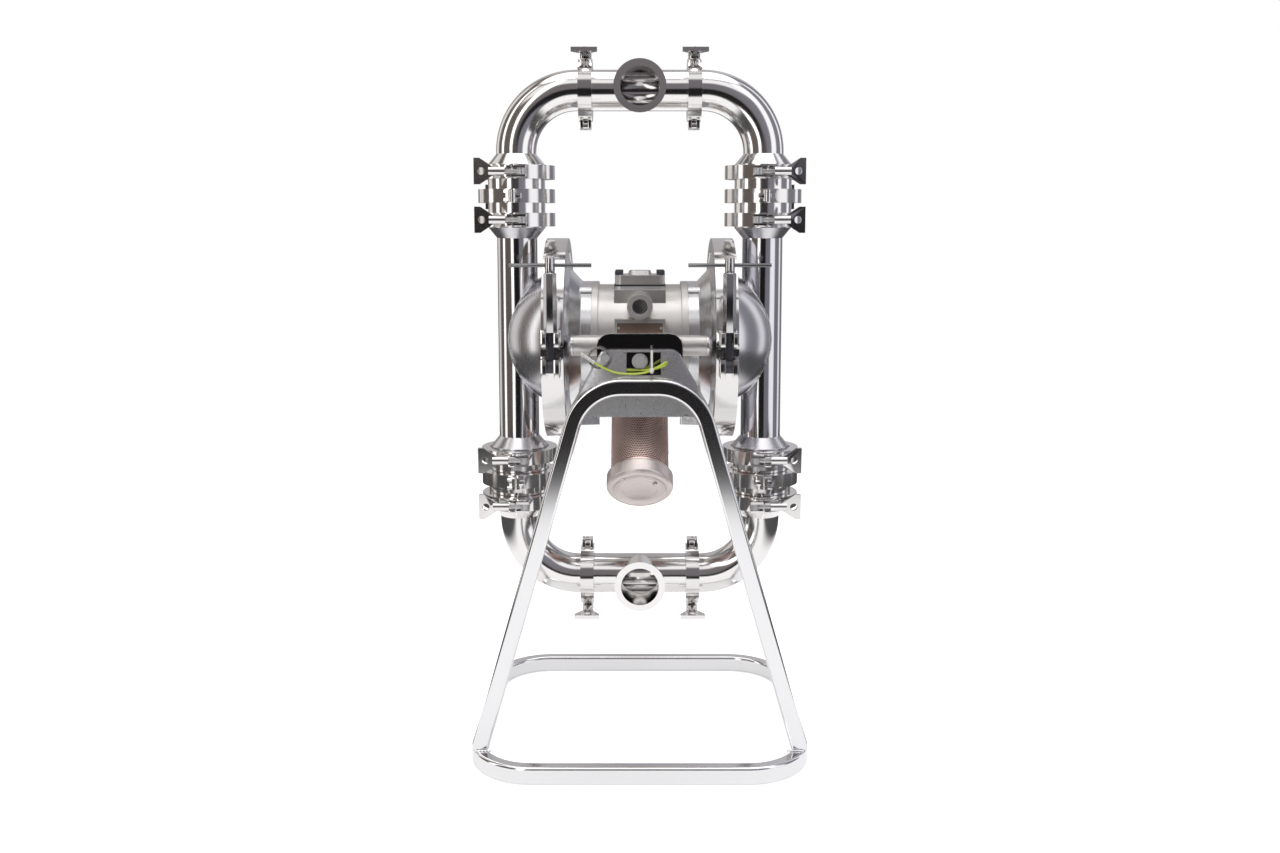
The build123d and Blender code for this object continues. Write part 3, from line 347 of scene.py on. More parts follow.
@dataclass(frozen=True)
class Finish:
    """A surface finish, with the spread of its colour, gloss and relief."""

    name: str
    slot: str
    colour: Colour
    second: Colour
    metallic: float = 1.0
    roughness: float = 0.25
    roughness_spread: float = 0.08
    grain: Grain = Grain.EVEN
    fine_scale: float = 900.0
    broad_scale: float = 22.0
    bump: float = 0.05
    bump_distance: float = 0.0002
    ripple: float = 0.0
    edge_radius: float = 0.0006
    # Painted highlight: how much lighter the colour is made at the edges.
    edge_highlight_gain: float = 0.1
    soil: float = 0.15

    def build(self) -> bpy.types.Material:
        """Make the material, or find it if it is there already.

        Returns:
            The material.
        """
        found = bpy.data.materials.get(self.name)
        if found is not None:
            return found
        material = bpy.data.materials.new(self.name)
        material.use_nodes = True
        tree = material.node_tree
        shader = tree.nodes["Principled BSDF"]
        shader.inputs["Metallic"].default_value = self.metallic
        marks = self._marks(tree)
        for label, socket in (("Base Color", self._colour(tree, marks)),
                              ("Roughness", self._roughness(tree, marks)),
                              ("Normal", self._normal(tree, marks))):
            tree.links.new(socket, shader.inputs[label])
        return material

    def _marks(self, tree: Tree) -> Marks:
        """Add the coordinates and the shared groups.

        Args:
            tree: the material's node tree.

        Returns:
            The sockets of the marks.
        """
        place = add_node(tree, "TexCoord").outputs["Object"]
        worked = place
        if self.grain is Grain.TURNED_X:
            turned = add_node(tree, "Group", node_tree=GROUPS.turned)
            tree.links.new(place, turned.inputs["Vector"])
            worked = turned.outputs["Vector"]
        elif self.grain in GRAIN_STRETCH:
            inputs = {"Vector": place, "Scale": GRAIN_STRETCH[self.grain]}
            worked = add_node(tree, "Mapping", inputs).outputs["Vector"]
        grain = add_node(tree, "Group", {"Vector": worked, "Fine scale": self.fine_scale,
                                         "Broad scale": self.broad_scale},
                         node_tree=GROUPS.grain).outputs
        edge_round_and_highlight = add_node(tree, "Group", {"Radius": self.edge_radius, "Noise": grain["Broad"]},
                        node_tree=GROUPS.edge_round_and_highlight).outputs
        soil = add_node(tree, "Group", {"Vector": place, "Amount": self.soil},
                        node_tree=GROUPS.soil).outputs
        return Marks(grain["Fine"], grain["Broad"], edge_round_and_highlight["Edge"], edge_round_and_highlight["Normal"], soil["Mask"])

    def _tones(self, tree: Tree, marks: Marks) -> Socket:
        """Return the two tones, mixed by the broad grain."""
        return mix_colours(tree, marks.broad, self.colour, self.second)

    def _colour(self, tree: Tree, marks: Marks) -> Socket:
        """Mix the two tones, paint a highlight on the edges and darken the soil.

        Args:
            tree: the material's node tree.
            marks: the surface's marks.

        Returns:
            The base colour.
        """
        # Painted highlight on the edges: a lighter copy of the colour, broken up by the broad
        # grain.
        bright = tuple(min(1.0, value + self.edge_highlight_gain) for value in self.colour)
        dark = tuple(SOIL_TONE * value for value in self.second)
        edge_highlighted = mix_colours(tree, marks.edge, self._tones(tree, marks), bright)
        return mix_colours(tree, marks.soil, edge_highlighted, dark)

    def _roughness(self, tree: Tree, marks: Marks) -> Socket:
        """Spread the roughness with the grain, rougher where soiled.

        Args:
            tree: the material's node tree.
            marks: the surface's marks.

        Returns:
            The roughness.
        """
        both = add_math(tree, "ADD", marks.fine, marks.broad)
        ends = (max(LEAST_ROUGHNESS, self.roughness - self.roughness_spread),
                self.roughness + self.roughness_spread)
        spread = add_ramp(tree, both, GRAIN_SPAN, ends, smooth=False)
        added = add_math(tree, "MULTIPLY", marks.soil, SOIL_ROUGHNESS)
        return add_math(tree, "ADD", spread, added)

    def _normal(self, tree: Tree, marks: Marks) -> Socket:
        """Add the fine relief and the slow ripple to the rounded edges' normal.

        Args:
            tree: the material's node tree.
            marks: the surface's marks.

        Returns:
            The normal.
        """
        normal = marks.normal
        if self.ripple > 0:
            normal = add_node(tree, "Bump", {
                "Strength": self.ripple, "Distance": RIPPLE_HEIGHT, "Height": marks.broad,
                "Normal": normal}).outputs["Normal"]
        return add_node(tree, "Bump", {
            "Strength": self.bump, "Distance": self.bump_distance, "Height": marks.fine,
            "Normal": normal}).outputs["Normal"]


@dataclass(frozen=True)
class StripedFinish(Finish):
    """Insulation in two colours that run along the lead in slow turns."""

    stripe: Colour = (0.045, 0.30, 0.060)
    stripes: float = 2.0
    turns: float = 2.5
    ground_share: float = 0.62

    def _colour(self, tree: Tree, marks: Marks) -> Socket:
        """Mix the stripe into the ground colour by the way round the lead.

        Args:
            tree: the material's node tree.
            marks: the surface's marks.

        Returns:
            The base colour.
        """
        along, around, _ = split_vector(tree, add_node(tree, "TexCoord").outputs["UV"])
        slow = add_math(tree, "MULTIPLY", along, self.turns)
        fast = add_math(tree, "MULTIPLY", around, self.stripes)
        part = add_math(tree, "FRACT", add_math(tree, "ADD", slow, fast))
        mask = add_math(tree, "GREATER_THAN", part, self.ground_share)
        return mix_colours(tree, mask, self._tones(tree, marks), self.stripe)


class Region(Enum):
    """Part of a node that is polished brighter than the rest."""

    RISER = "riser"
    PLATE = "plate"


@dataclass(frozen=True)
class MaskedFinish(Finish):
    """A finish with one region that is polished smooth."""

    region: Region = Region.RISER
    polished: float = 0.09
    riser_reach: float = 0.0257
    plate_reach: float = 0.1193

    def _mask(self, tree: Tree) -> Socket:
        """Add the mask of the polished region.

        Args:
            tree: the material's node tree.

        Returns:
            A socket that is 1 in the region and 0 elsewhere.
        """
        x, y, _ = split_vector(tree, add_node(tree, "TexCoord").outputs["Object"])
        if self.region is Region.PLATE:
            return add_math(tree, "LESS_THAN", add_math(tree, "ABSOLUTE", y), self.plate_reach)
        gap = add_math(tree, "SUBTRACT", add_math(tree, "ABSOLUTE", x), RISER_X)
        return add_math(tree, "LESS_THAN", add_distance(tree, gap, y), self.riser_reach)

    def _roughness(self, tree: Tree, marks: Marks) -> Socket:
        """Lower the plain finish's roughness in the region.

        Args:
            tree: the material's node tree.
            marks: the surface's marks.

        Returns:
            The roughness.
        """
        inputs = {"Factor": self._mask(tree), "A": super()._roughness(tree, marks),
                  "B": self.polished}
        return add_node(tree, "Mix", inputs).outputs["Result"]

    def _normal(self, tree: Tree, marks: Marks) -> Socket:
        """Leave the plain finish's fine relief out of the region.

        Args:
            tree: the material's node tree.
            marks: the surface's marks.

        Returns:
            The normal.
        """
        kept = add_math(tree, "SUBTRACT", 1.0, self._mask(tree))
        flat = add_math(tree, "MULTIPLY", marks.fine, kept)
        return super()._normal(tree, replace(marks, fine=flat))


BAR = Finish(
    "polished_bar", "polished_bar", (0.80, 0.80, 0.80), (0.70, 0.70, 0.71), roughness=0.10,
    roughness_spread=0.03, fine_scale=500.0, bump=0.02, ripple=0.05, edge_radius=0.0030)
SHEET = MaskedFinish(
    "saddle_sheet", "saddle_steel", (0.66, 0.66, 0.66), (0.30, 0.30, 0.31), roughness=0.34,
    roughness_spread=0.12, fine_scale=620.0, broad_scale=260.0, bump=0.30, bump_distance=0.0004,
    edge_radius=0.0005, region=Region.PLATE, polished=0.07)
WELD = Finish(
    "weld_bead", "saddle_steel", (0.62, 0.60, 0.58), (0.34, 0.32, 0.31), roughness=0.30,
    roughness_spread=0.10, fine_scale=700.0, broad_scale=300.0, bump=0.12, edge_radius=0.0002)
MIRROR = Finish(
    "mirror_tube", "mirror_tube", (0.82, 0.80, 0.77), (0.74, 0.71, 0.68), roughness=0.07,
    roughness_spread=0.03, fine_scale=420.0, bump=0.012, ripple=0.02)
CHAMBER = MaskedFinish(
    "satin_chamber", "chamber_steel", (0.70, 0.70, 0.72), (0.62, 0.61, 0.63), roughness=0.24,
    roughness_spread=0.05, grain=Grain.TURNED_X, bump=0.035, edge_radius=0.0008,
    region=Region.RISER)
SATIN = Finish(
    "satin_steel", "chamber_steel", (0.70, 0.70, 0.71), (0.60, 0.60, 0.61), roughness=0.24,
    roughness_spread=0.06, grain=Grain.TURNED_X, bump=0.04, edge_radius=0.0008)
CAST = Finish(
    "cast_clamp", "cast_clamp", (0.76, 0.75, 0.73), (0.62, 0.61, 0.59), roughness=0.17,
    roughness_spread=0.07, fine_scale=380.0, broad_scale=60.0, bump=0.10, ripple=0.10,
    edge_radius=0.0010)
BOLT = Finish(
    "bolt_steel", "bolt_steel", (0.62, 0.62, 0.61), (0.48, 0.48, 0.47), roughness=0.28,
    fine_scale=800.0, bump=0.06, edge_radius=0.0005)
NUT = Finish(
    "nut_steel", "bolt_steel", (0.66, 0.66, 0.66), (0.54, 0.54, 0.54), roughness=0.13,
    roughness_spread=0.05, grain=Grain.ALONG_Z, fine_scale=700.0, edge_radius=0.0005)
CROSS_BAR = Finish(
    "cross_bar", "bolt_steel", (0.22, 0.22, 0.225), (0.15, 0.15, 0.155), roughness=0.22,
    roughness_spread=0.06, grain=Grain.ALONG_X, fine_scale=800.0, bump=0.04, edge_radius=0.0004)
CENTRE = Finish(
    "blasted_centre", "center_cast", (0.64, 0.62, 0.60), (0.50, 0.48, 0.46), roughness=0.36,
    roughness_spread=0.07, fine_scale=1500.0, bump=0.22, edge_radius=0.0010)
DARK = Finish(
    "dark_fastener", "dark_fastener", (0.050, 0.050, 0.055), (0.028, 0.028, 0.03), metallic=0.6,
    roughness=0.38, bump=0.08)
RUBBER = Finish(
    "gasket_rubber", "gasket_rubber", (0.030, 0.030, 0.030), (0.018, 0.018, 0.018),
    metallic=0.0, roughness=0.55, fine_scale=700.0, bump=0.08, edge_highlight_gain=0.02)
FLUORO = Finish(
    "white_gasket", "white_gasket", (0.82, 0.82, 0.79), (0.72, 0.72, 0.69), metallic=0.0,
    roughness=0.42, fine_scale=500.0, edge_highlight_gain=0.03)
INNER = Finish(
    "inner_steel", "inner_steel", (0.64, 0.64, 0.64), (0.54, 0.54, 0.54), grain=Grain.TURNED_X,
    bump=0.08)
BRONZE = Finish(
    "bearing_bronze", "bearing_bronze", (0.58, 0.40, 0.20), (0.44, 0.30, 0.15), roughness=0.35,
    bump=0.08)
SLEEVE = Finish(
    "muffler_sleeve", "muffler_bronze", (0.92, 0.70, 0.64), (0.78, 0.56, 0.50), roughness=0.33,
    fine_scale=600.0, bump=0.08, edge_radius=0.0003)
# Felt core behind the holes; its near-black colour is partly painted shade in the holes.
FELT_AND_HOLE_SHADE = Finish(
    "muffler_felt_hole_shade", "muffler_bronze", (0.075, 0.040, 0.036), (0.045, 0.026, 0.024),
    metallic=0.0, roughness=0.8, bump=0.2, edge_highlight_gain=0.0)
# The cap's edges get a strong painted highlight for its bright rim.
PALE_CAST = Finish(
    "muffler_casting", "muffler_cast", (0.74, 0.68, 0.65), (0.60, 0.54, 0.52), metallic=0.80,
    roughness=0.36, bump=0.20, edge_radius=0.0012, edge_highlight_gain=0.12)
# The plate's edges get a strong painted highlight.
BROWN_PLATE = Finish(
    "brown_plate", "saddle_steel", (0.30, 0.215, 0.17), (0.22, 0.155, 0.125), metallic=0.7,
    roughness=0.32, grain=Grain.ALONG_X, bump=0.10, edge_radius=0.0005, edge_highlight_gain=0.22)
TIN = Finish(
    "tinned_lug", "lug_tin", (0.74, 0.73, 0.70), (0.62, 0.61, 0.58), roughness=0.26, bump=0.06,
    edge_radius=0.0003)
INSULATION = StripedFinish(
    "earth_insulation", "earth_insulation", (0.78, 0.76, 0.10), (0.70, 0.72, 0.12),
    metallic=0.0, roughness=0.35, bump=0.04, edge_highlight_gain=0.0)
NYLON = Finish(
    "tie_nylon", "white_gasket", (0.84, 0.84, 0.80), (0.76, 0.76, 0.71), metallic=0.0,
    roughness=0.36, bump=0.04, edge_highlight_gain=0.04)

NODE_FINISHES: dict[str, Finish] = {name: finish for finish, names in (
    (BAR, "base_loop front_frame rear_frame"),
    (SHEET, "arch_gussets front_saddle rear_saddle"),
    (MIRROR, "outlet_tee inlet_tee outlet_elbow_left outlet_elbow_right inlet_elbow_left "
             "inlet_elbow_right stack_spools"),
    (CHAMBER, "outer_chamber_left outer_chamber_right"),
    (SATIN, "inner_chamber_left inner_chamber_right air_valve_end_caps"),
    (CAST, "clamp_nut_halves clamp_bolt_halves clamp_wing_nuts band_clamp_upper_left "
           "band_clamp_upper_right band_clamp_lower_left band_clamp_lower_right"),
    (BOLT, "mount_bolts_and_washers clamp_hinge_pins clamp_swing_bolts chamber_bolts "
           "t_nut_left t_nut_right small_screws pilot_cover_plate"),
    (INNER, "valve_seats ball_cages inner_plates outer_plates diaphragm_shaft "
            "air_valve_spool"),
    (FLUORO, "clamp_gaskets ball_outlet_left ball_outlet_right ball_inlet_left "
             "ball_inlet_right earth_wire"),
    (RUBBER, "diaphragm_left diaphragm_right shaft_seals pilot_cover_gasket"),
    (DARK, "band_clamp_bolts pilot_cover_bolts"),
    (CENTRE, "center_section air_valve_body pilot_cover"),
    (BRONZE, "shaft_bushings muffler_nipple"),
    (BROWN_PLATE, "nameplate"), (SLEEVE, "muffler_sleeve"), (PALE_CAST, "muffler_cap"),
    (TIN, "earth_lug")) for name in names.split()}


def dress_frame() -> None:
    """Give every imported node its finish."""
    for name, node in frame["nodes"].items():
        material = NODE_FINISHES[name].build()
        if not node.material_slots:
            node.data.materials.append(material)
        for holder in node.material_slots:
            holder.material = material
    LOG.info("dressed %d nodes", len(frame["nodes"]))


# ---------------------------------------------------------------- making pieces
def add_piece(name: str, mesh: bpy.types.Mesh, finish: Finish,
              body: str = ROOT_BODY) -> bpy.types.Object:
    """Add a piece.

    Args:
        name: name of the piece.
        mesh: its mesh, in metres, in place.
        finish: its finish.
        body: the body it rides on.

    Returns:
        The piece.
    """
    mesh.name = name
    mesh.materials.clear()
    mesh.materials.append(finish.build())
    mesh.shade_smooth()
    piece = bpy.data.objects.new(name, mesh)
    bpy.context.scene.collection.objects.link(piece)
    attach(piece, body)
    LOG.info("made %s with %d faces", name, len(mesh.polygons))
    return piece


def finish_piece(name: str, shape: Shape, finish: Finish, body: str = ROOT_BODY,
                 sharp: float = 35.0) -> bpy.types.Object:
    """Add a piece made from a shape.

    Args:
        name: name of the piece.
        shape: its shape, in metres, in place; it is freed.
        finish: its finish.
        body: the body it rides on.
        sharp: angle in degrees above which an edge stays sharp.

    Returns:
        The piece.
    """
    mesh = bpy.data.meshes.new(name)
    shape.to_mesh(mesh)
    shape.free()
    piece = add_piece(name, mesh, finish, body)
    mesh.set_sharp_from_angle(angle=math.radians(sharp))
    return piece


def line_mesh(kind: str, points: Sequence[Point], radii: Sequence[float], depth: float,
              closed: bool = False, sides: int = 2) -> bpy.types.Mesh:
    """Make the mesh of a curve.

    Args:
        kind: POLY or NURBS.
        points: its points in metres.
        radii: the thickness factor at each point.
        depth: radius of its round section, or 0 for its bare line.
        closed: whether it is a loop.
        sides: bevel resolution of the section.

    Returns:
        The mesh that Blender gives for the curve.
    """
    data = bpy.data.curves.new("line", "CURVE")
    data.dimensions = "3D"
    data.bevel_depth = depth
    data.bevel_resolution = sides
    data.use_fill_caps = not closed
    spline = data.splines.new(kind)
    spline.points.add(len(points) - 1)
    for node, place, factor in zip(spline.points, points, radii):
        node.co = (*place, 1.0)
        node.radius = factor
    spline.use_cyclic_u = closed
    if kind == "NURBS":
        spline.order_u = 3
        spline.use_endpoint_u = True
        spline.resolution_u = 12
    holder = bpy.data.objects.new("line", data)
    bpy.context.scene.collection.objects.link(holder)
    bpy.context.view_layer.update()
    graph = bpy.context.evaluated_depsgraph_get()
    mesh = bpy.data.meshes.new_from_object(holder.evaluated_get(graph))
    bpy.data.objects.remove(holder)
    bpy.data.curves.remove(data)
    return mesh


def new_verts(made: dict[str, list]) -> list[bmesh.types.BMVert]:
    """Return the vertices that an extrusion made."""
    return [item for item in made["geom"] if isinstance(item, bmesh.types.BMVert)]


def settle(shape: Shape, place: Matrix) -> None:
    """Turn a shape's faces outwards and put it in its place."""
    bmesh.ops.recalc_face_normals(shape, faces=shape.faces)
    bmesh.ops.transform(shape, matrix=place, verts=shape.verts)


def bevel_edges(shape: Shape, edges: set[bmesh.types.BMEdge], width: float) -> None:
    """Round some edges of a shape with two segments, in the shape's own order of edges."""
    bmesh.ops.bevel(shape, geom=[edge for edge in shape.edges if edge in edges],
                    offset=width, segments=2, affect="EDGES", profile=0.5, material=-1,
                    clamp_overlap=True)


def add_rod(shape: Shape, radius: float, length: float, place: Matrix, sides: int,
            chamfer: float) -> None:
    """Add a rod or prism with chamfered ends.

    Args:
        shape: the shape that it is added to.
        radius: its radius to a corner.
        length: its length along its own Z.
        place: where its middle goes.
        sides: number of sides.
        chamfer: width of the chamfer at its ends.
    """
    made = bmesh.ops.create_cone(shape, cap_ends=True, cap_tris=False, segments=sides,
                                 radius1=radius, radius2=radius, depth=length, matrix=place)
    rims = {edge for vert in made["verts"] for edge in vert.link_edges
            if any(len(face.verts) == sides for face in edge.link_faces)}
    bevel_edges(shape, rims, chamfer)


# ---------------------------------------------------------------- earth lead
@dataclass
class EarthLead:
    """Yellow and green earth lead with its cable tie, from the lug back through the hood."""

    route: tuple[Point, ...] = (
        (-0.0534, -0.1275, 0.4954), (-0.0350, -0.1305, 0.4838), (-0.0100, -0.1330, 0.4822),
        (0.0090, -0.1380, 0.4850), (0.0244, -0.1463, 0.4942), (0.0327, -0.1357, 0.4983),
        (0.0294, -0.1250, 0.4904), (0.0130, -0.1250, 0.4866), (-0.0040, -0.1220, 0.4858),
        (-0.0240, -0.1211, 0.4862))
    diameter: float = 0.0027
    length: float = 0.1627
    tie_place: Point = (0.0140, -0.1325, 0.4874)
    tie_size: Point = (0.0026, 0.0112, 0.0044)
    tie_thickness: float = 0.0009
    tie_segments: int = 40
    head_size: Point = (0.0046, 0.0028, 0.0046)
    head_rise: float = 0.2
    tail_top: float = 0.5120
    tail_proud: float = 0.0002
    rounding: float = 0.0003

    def build(self) -> None:
        """Make the lead and its tie."""
        self._lead()
        self._tie()

    def _lead(self) -> None:
        """Make the insulated lead along its route."""
        ones = [1.0] * len(self.route)
        line = line_mesh("NURBS", self.route, ones, 0.0)
        path = [tuple(vertex.co) for vertex in line.vertices]
        mesh = line_mesh("NURBS", self.route, ones, self.diameter / 2, sides=4)
        lead = add_piece("earth_lead", mesh, INSULATION)
        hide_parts("earth_wire")
        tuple(self.route[0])

    def _tie(self) -> None:
        """Make the tie's strap, its head and its tail."""
        shape = bmesh.new()
        width, across, high = self.tie_size
        loop = bmesh.ops.create_circle(shape, cap_ends=False, segments=self.tie_segments,
                                       radius=1.0)
        bmesh.ops.scale(shape, vec=(across, high, 1.0), verts=loop["verts"])
        turn = Matrix(((0, 0, 1), (1, 0, 0), (0, 1, 0))).to_4x4()
        bmesh.ops.transform(shape, matrix=turn, verts=shape.verts)
        strip = bmesh.ops.extrude_edge_only(shape, edges=shape.edges[:])
        bmesh.ops.translate(shape, vec=(width, 0.0, 0.0), verts=new_verts(strip))
        bmesh.ops.recalc_face_normals(shape, faces=shape.faces)
        bmesh.ops.solidify(shape, geom=shape.faces[:], thickness=self.tie_thickness)
        bmesh.ops.translate(shape, vec=Vector(self.tie_place) - Vector((width / 2, 0, 0)),
                            verts=shape.verts)
        x, y, z = self.tie_place[0], self.tie_place[1] - across, self.tie_place[2]
        head_z = z + self.head_rise * high
        tail = (width, self.tie_thickness, self.tail_top - head_z)
        tail_place = (x, y - self.tail_proud, (self.tail_top + head_z) / 2)
        for size, place in ((self.head_size, (x, y, head_z)), (tail, tail_place)):
            block = bmesh.ops.create_cube(shape, size=1.0)
            bmesh.ops.scale(shape, vec=size, verts=block["verts"])
            bmesh.ops.translate(shape, vec=place, verts=block["verts"])
            edges = {edge for vert in block["verts"] for edge in vert.link_edges}
            bevel_edges(shape, edges, self.rounding)
        bmesh.ops.recalc_face_normals(shape, faces=shape.faces)
        finish_piece("cable_tie", shape, NYLON)


# ---------------------------------------------------------------- exhaust muffler
@dataclass
class Muffler:
    """Perforated sleeve of the exhaust muffler, the felt in it and the marks on its cap."""

    root: Point = (0.0, -0.020, 0.449)
    tilt: float = 45.0
    radius: float = 0.035
    wall: float = 0.0009
    start: float = 0.024
    cap_start: float = 0.132
    cap_end: float = 0.152
    pitch: float = 0.0030
    hole_margin: float = 0.00055
    plain_rows: int = 2
    head_opening: float = 0.36
    merge: float = 1e-5
    felt_gap: float = 0.0032
    felt_short: float = 0.002
    felt_chamfer: float = 0.001
    felt_sides: int = 48
    marks: tuple[Span, ...] = ((-0.0205, -0.0235), (0.0180, -0.0120))
    mark_radius: float = 0.0026
    mark_height: float = 0.0022
    mark_sunk: float = 0.0004
    mark_chamfer: float = 0.0004
    mark_sides: int = 24

    def build(self) -> None:
        """Make the sleeve, the felt and the marks."""
        self._sleeve()
        self._felt_and_hole_shade()
        self._marks()

    def _place(self) -> Matrix:
        """Return the matrix that puts the muffler's own Z on its axis, root at the body."""
        turn = Matrix.Rotation(math.radians(180.0 - self.tilt), 4, "X")
        return Matrix.Translation(self.root) @ turn

    def _sleeve(self) -> None:
        """Roll a sheet of staggered holes round the axis and close it at the head."""
        around = round(2 * math.pi * self.radius / self.pitch)
        length = self.cap_start - self.start
        rows = round(length / (self.pitch * math.sin(math.radians(60))))
        shape = bmesh.new()
        bmesh.ops.create_grid(shape, x_segments=around, y_segments=rows, size=0.5)
        keep = 0.5 - self.plain_rows / rows
        holes = [face for face in shape.faces if abs(face.calc_center_median().y) < keep]
        bmesh.ops.scale(shape, vec=(around * self.pitch, length, 1.0), verts=shape.verts)
        bmesh.ops.inset_individual(shape, faces=holes, thickness=self.hole_margin)
        bmesh.ops.delete(shape, geom=holes, context="FACES")
        lean = 0.5 * self.pitch * rows / length
        for vert in shape.verts:
            angle = (vert.co.x + lean * vert.co.y) / (around * self.pitch) * 2 * math.pi
            along = vert.co.y + (self.start + self.cap_start) / 2
            vert.co = (self.radius * math.cos(angle), self.radius * math.sin(angle), along)
        bmesh.ops.remove_doubles(shape, verts=shape.verts, dist=self.merge)
        low = self.start + self.merge
        rim = [edge for edge in shape.edges if edge.is_boundary
               and all(vert.co.z < low for vert in edge.verts)]
        head = bmesh.ops.extrude_edge_only(shape, edges=rim)
        bmesh.ops.scale(shape, vec=(self.head_opening, self.head_opening, 1.0),
                        verts=new_verts(head))
        settle(shape, self._place())
        sleeve = finish_piece("perforated_sleeve", shape, SLEEVE)
        solid = sleeve.modifiers.new("wall", "SOLIDIFY")
        solid.thickness = self.wall
        solid.offset = -1.0
        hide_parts("muffler_sleeve")

    def _felt_and_hole_shade(self) -> None:
        """Make the felt that shows through the holes, its near-black colour partly painted shade.
        """
        shape = bmesh.new()
        middle = Matrix.Translation((0, 0, (self.start + self.cap_start) / 2))
        add_rod(shape, self.radius - self.felt_gap, self.cap_start - self.start - self.felt_short,
                middle, self.felt_sides, self.felt_chamfer)
        settle(shape, self._place())
        finish_piece("muffler_felt_hole_shade", shape, FELT_AND_HOLE_SHADE)

    def _marks(self) -> None:
        """Set two round marks in the cap's face."""
        shape = bmesh.new()
        for across, down in self.marks:
            place = Matrix.Translation((across, -down, self.cap_end - self.mark_sunk))
            add_rod(shape, self.mark_radius, self.mark_height, place, self.mark_sides,
                    self.mark_chamfer)
        settle(shape, self._place())
        finish_piece("cap_marks", shape, BOLT)


# ---------------------------------------------------------------- welds
@dataclass
class Welds:
    """Weld beads of the stand and of the wet chambers."""

    bead: float = 0.0011
    step: float = 0.0013
    merge: float = 1e-6
    scallops: tuple[Span, ...] = ((0.22, 2.1), (0.10, 0.37))
    hood_top: float = 0.4775
    hood_low: float = 0.4225
    hood_y: float = -0.1262
    hood_radius: float = 0.070
    lean: float = 0.2865
    tube_radius: float = 0.0254
    dome_centre_x: float = 0.078
    dome_radius: float = 0.091
    dome_steps: int = 90
    foot_proud: float = 0.0004
    foot_width: float = 0.0205
    foot_y: float = 0.1423
    foot_steps: int = 16

    def build(self) -> None:
        """Make every bead."""
        for side, label in ((-1.0, "front"), (1.0, "rear")):
            self._bead(f"{label}_hood_weld", self._arch(side), WELD, False)
        for side, label in SIDES:
            self._bead(f"{label}_dome_weld", self._dome(side), SATIN, True)
        self._feet()

    def _bead(self, name: str, points: Sequence[Point], finish: Finish, closed: bool) -> None:
        """Make one bead with the scallops of its passes.

        Args:
            name: name of the piece.
            points: points along the bead, in metres.
            finish: its finish.
            closed: whether it is a loop.
        """
        radii = [sum((depth * math.sin(pace * index) for depth, pace in self.scallops), 1.0)
                 for index in range(len(points))]
        shape = bmesh.new()
        shape.from_mesh(line_mesh("POLY", points, radii, self.bead, closed))
        bmesh.ops.remove_doubles(shape, verts=shape.verts, dist=self.merge)
        bmesh.ops.recalc_face_normals(shape, faces=shape.faces)
        finish_piece(name, shape, finish, sharp=75.0)

    def _arch(self, side: float) -> list[Point]:
        """Follow the arch's outer edge.

        Args:
            side: -1 for the front arch, 1 for the rear one.

        Returns:
            The points of the bead.
        """
        y = -side * self.hood_y
        slope = math.atan(self.lean)
        reach = math.pi / 2 - slope
        top_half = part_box("front_frame")[1].x - self.lean * self.hood_top
        centre_x = top_half - self.hood_radius * math.tan(reach / 2)
        centre_z = self.hood_top - self.hood_radius
        right = [(index * self.step, y, self.hood_top)
                 for index in range(int(centre_x / self.step))]
        turns = int(self.hood_radius * reach / self.step)
        for index in range(turns + 1):
            angle = reach * index / turns
            right.append((centre_x + self.hood_radius * math.sin(angle), y,
                          centre_z + self.hood_radius * math.cos(angle)))
        x, _, z = right[-1]
        while z > self.hood_low:
            z -= self.step * math.cos(slope)
            x += self.step * math.sin(slope)
            right.append((x, y, z))
        return [(-x, y, z) for x, _, z in reversed(right[1:])] + right

    def _dome(self, side: float) -> list[Point]:
        """Follow the loop where a riser's side meets the dome.

        Args:
            side: -1 for the left dome, 1 for the right one.

        Returns:
            The points of the bead.
        """
        gap = RISER_X - self.dome_centre_x
        limit = self.dome_radius ** 2 - gap ** 2 - self.tube_radius ** 2
        first = math.acos(limit / (2 * gap * self.tube_radius))
        upper: list[Point] = []
        for index in range(self.dome_steps + 1):
            angle = first + (2 * math.pi - 2 * first) * index / self.dome_steps
            x = RISER_X + self.tube_radius * math.cos(angle)
            y = self.tube_radius * math.sin(angle)
            square = self.dome_radius ** 2 - (x - self.dome_centre_x) ** 2 - y * y
            upper.append((side * x, y, math.sqrt(max(0.0, square))))
        lower = [(x, y, -z) for x, y, z in reversed(upper[1:-1])]
        return [(x, y, AXIS_HEIGHT + z) for x, y, z in upper + lower]

    def _feet(self) -> None:
        """Tack the legs to the base loop."""
        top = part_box("base_loop")[1].z
        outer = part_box("front_frame")[1].x - self.lean * top + self.foot_proud
        places = [outer - self.foot_width * step / self.foot_steps
                  for step in range(self.foot_steps + 1)]
        for index, (sx, sy) in enumerate(((-1, -1), (1, -1), (-1, 1), (1, 1)), start=1):
            points = [(sx * x, sy * self.foot_y, top + self.foot_proud) for x in places]
            self._bead(f"foot_weld_{index}", points, BAR, False)


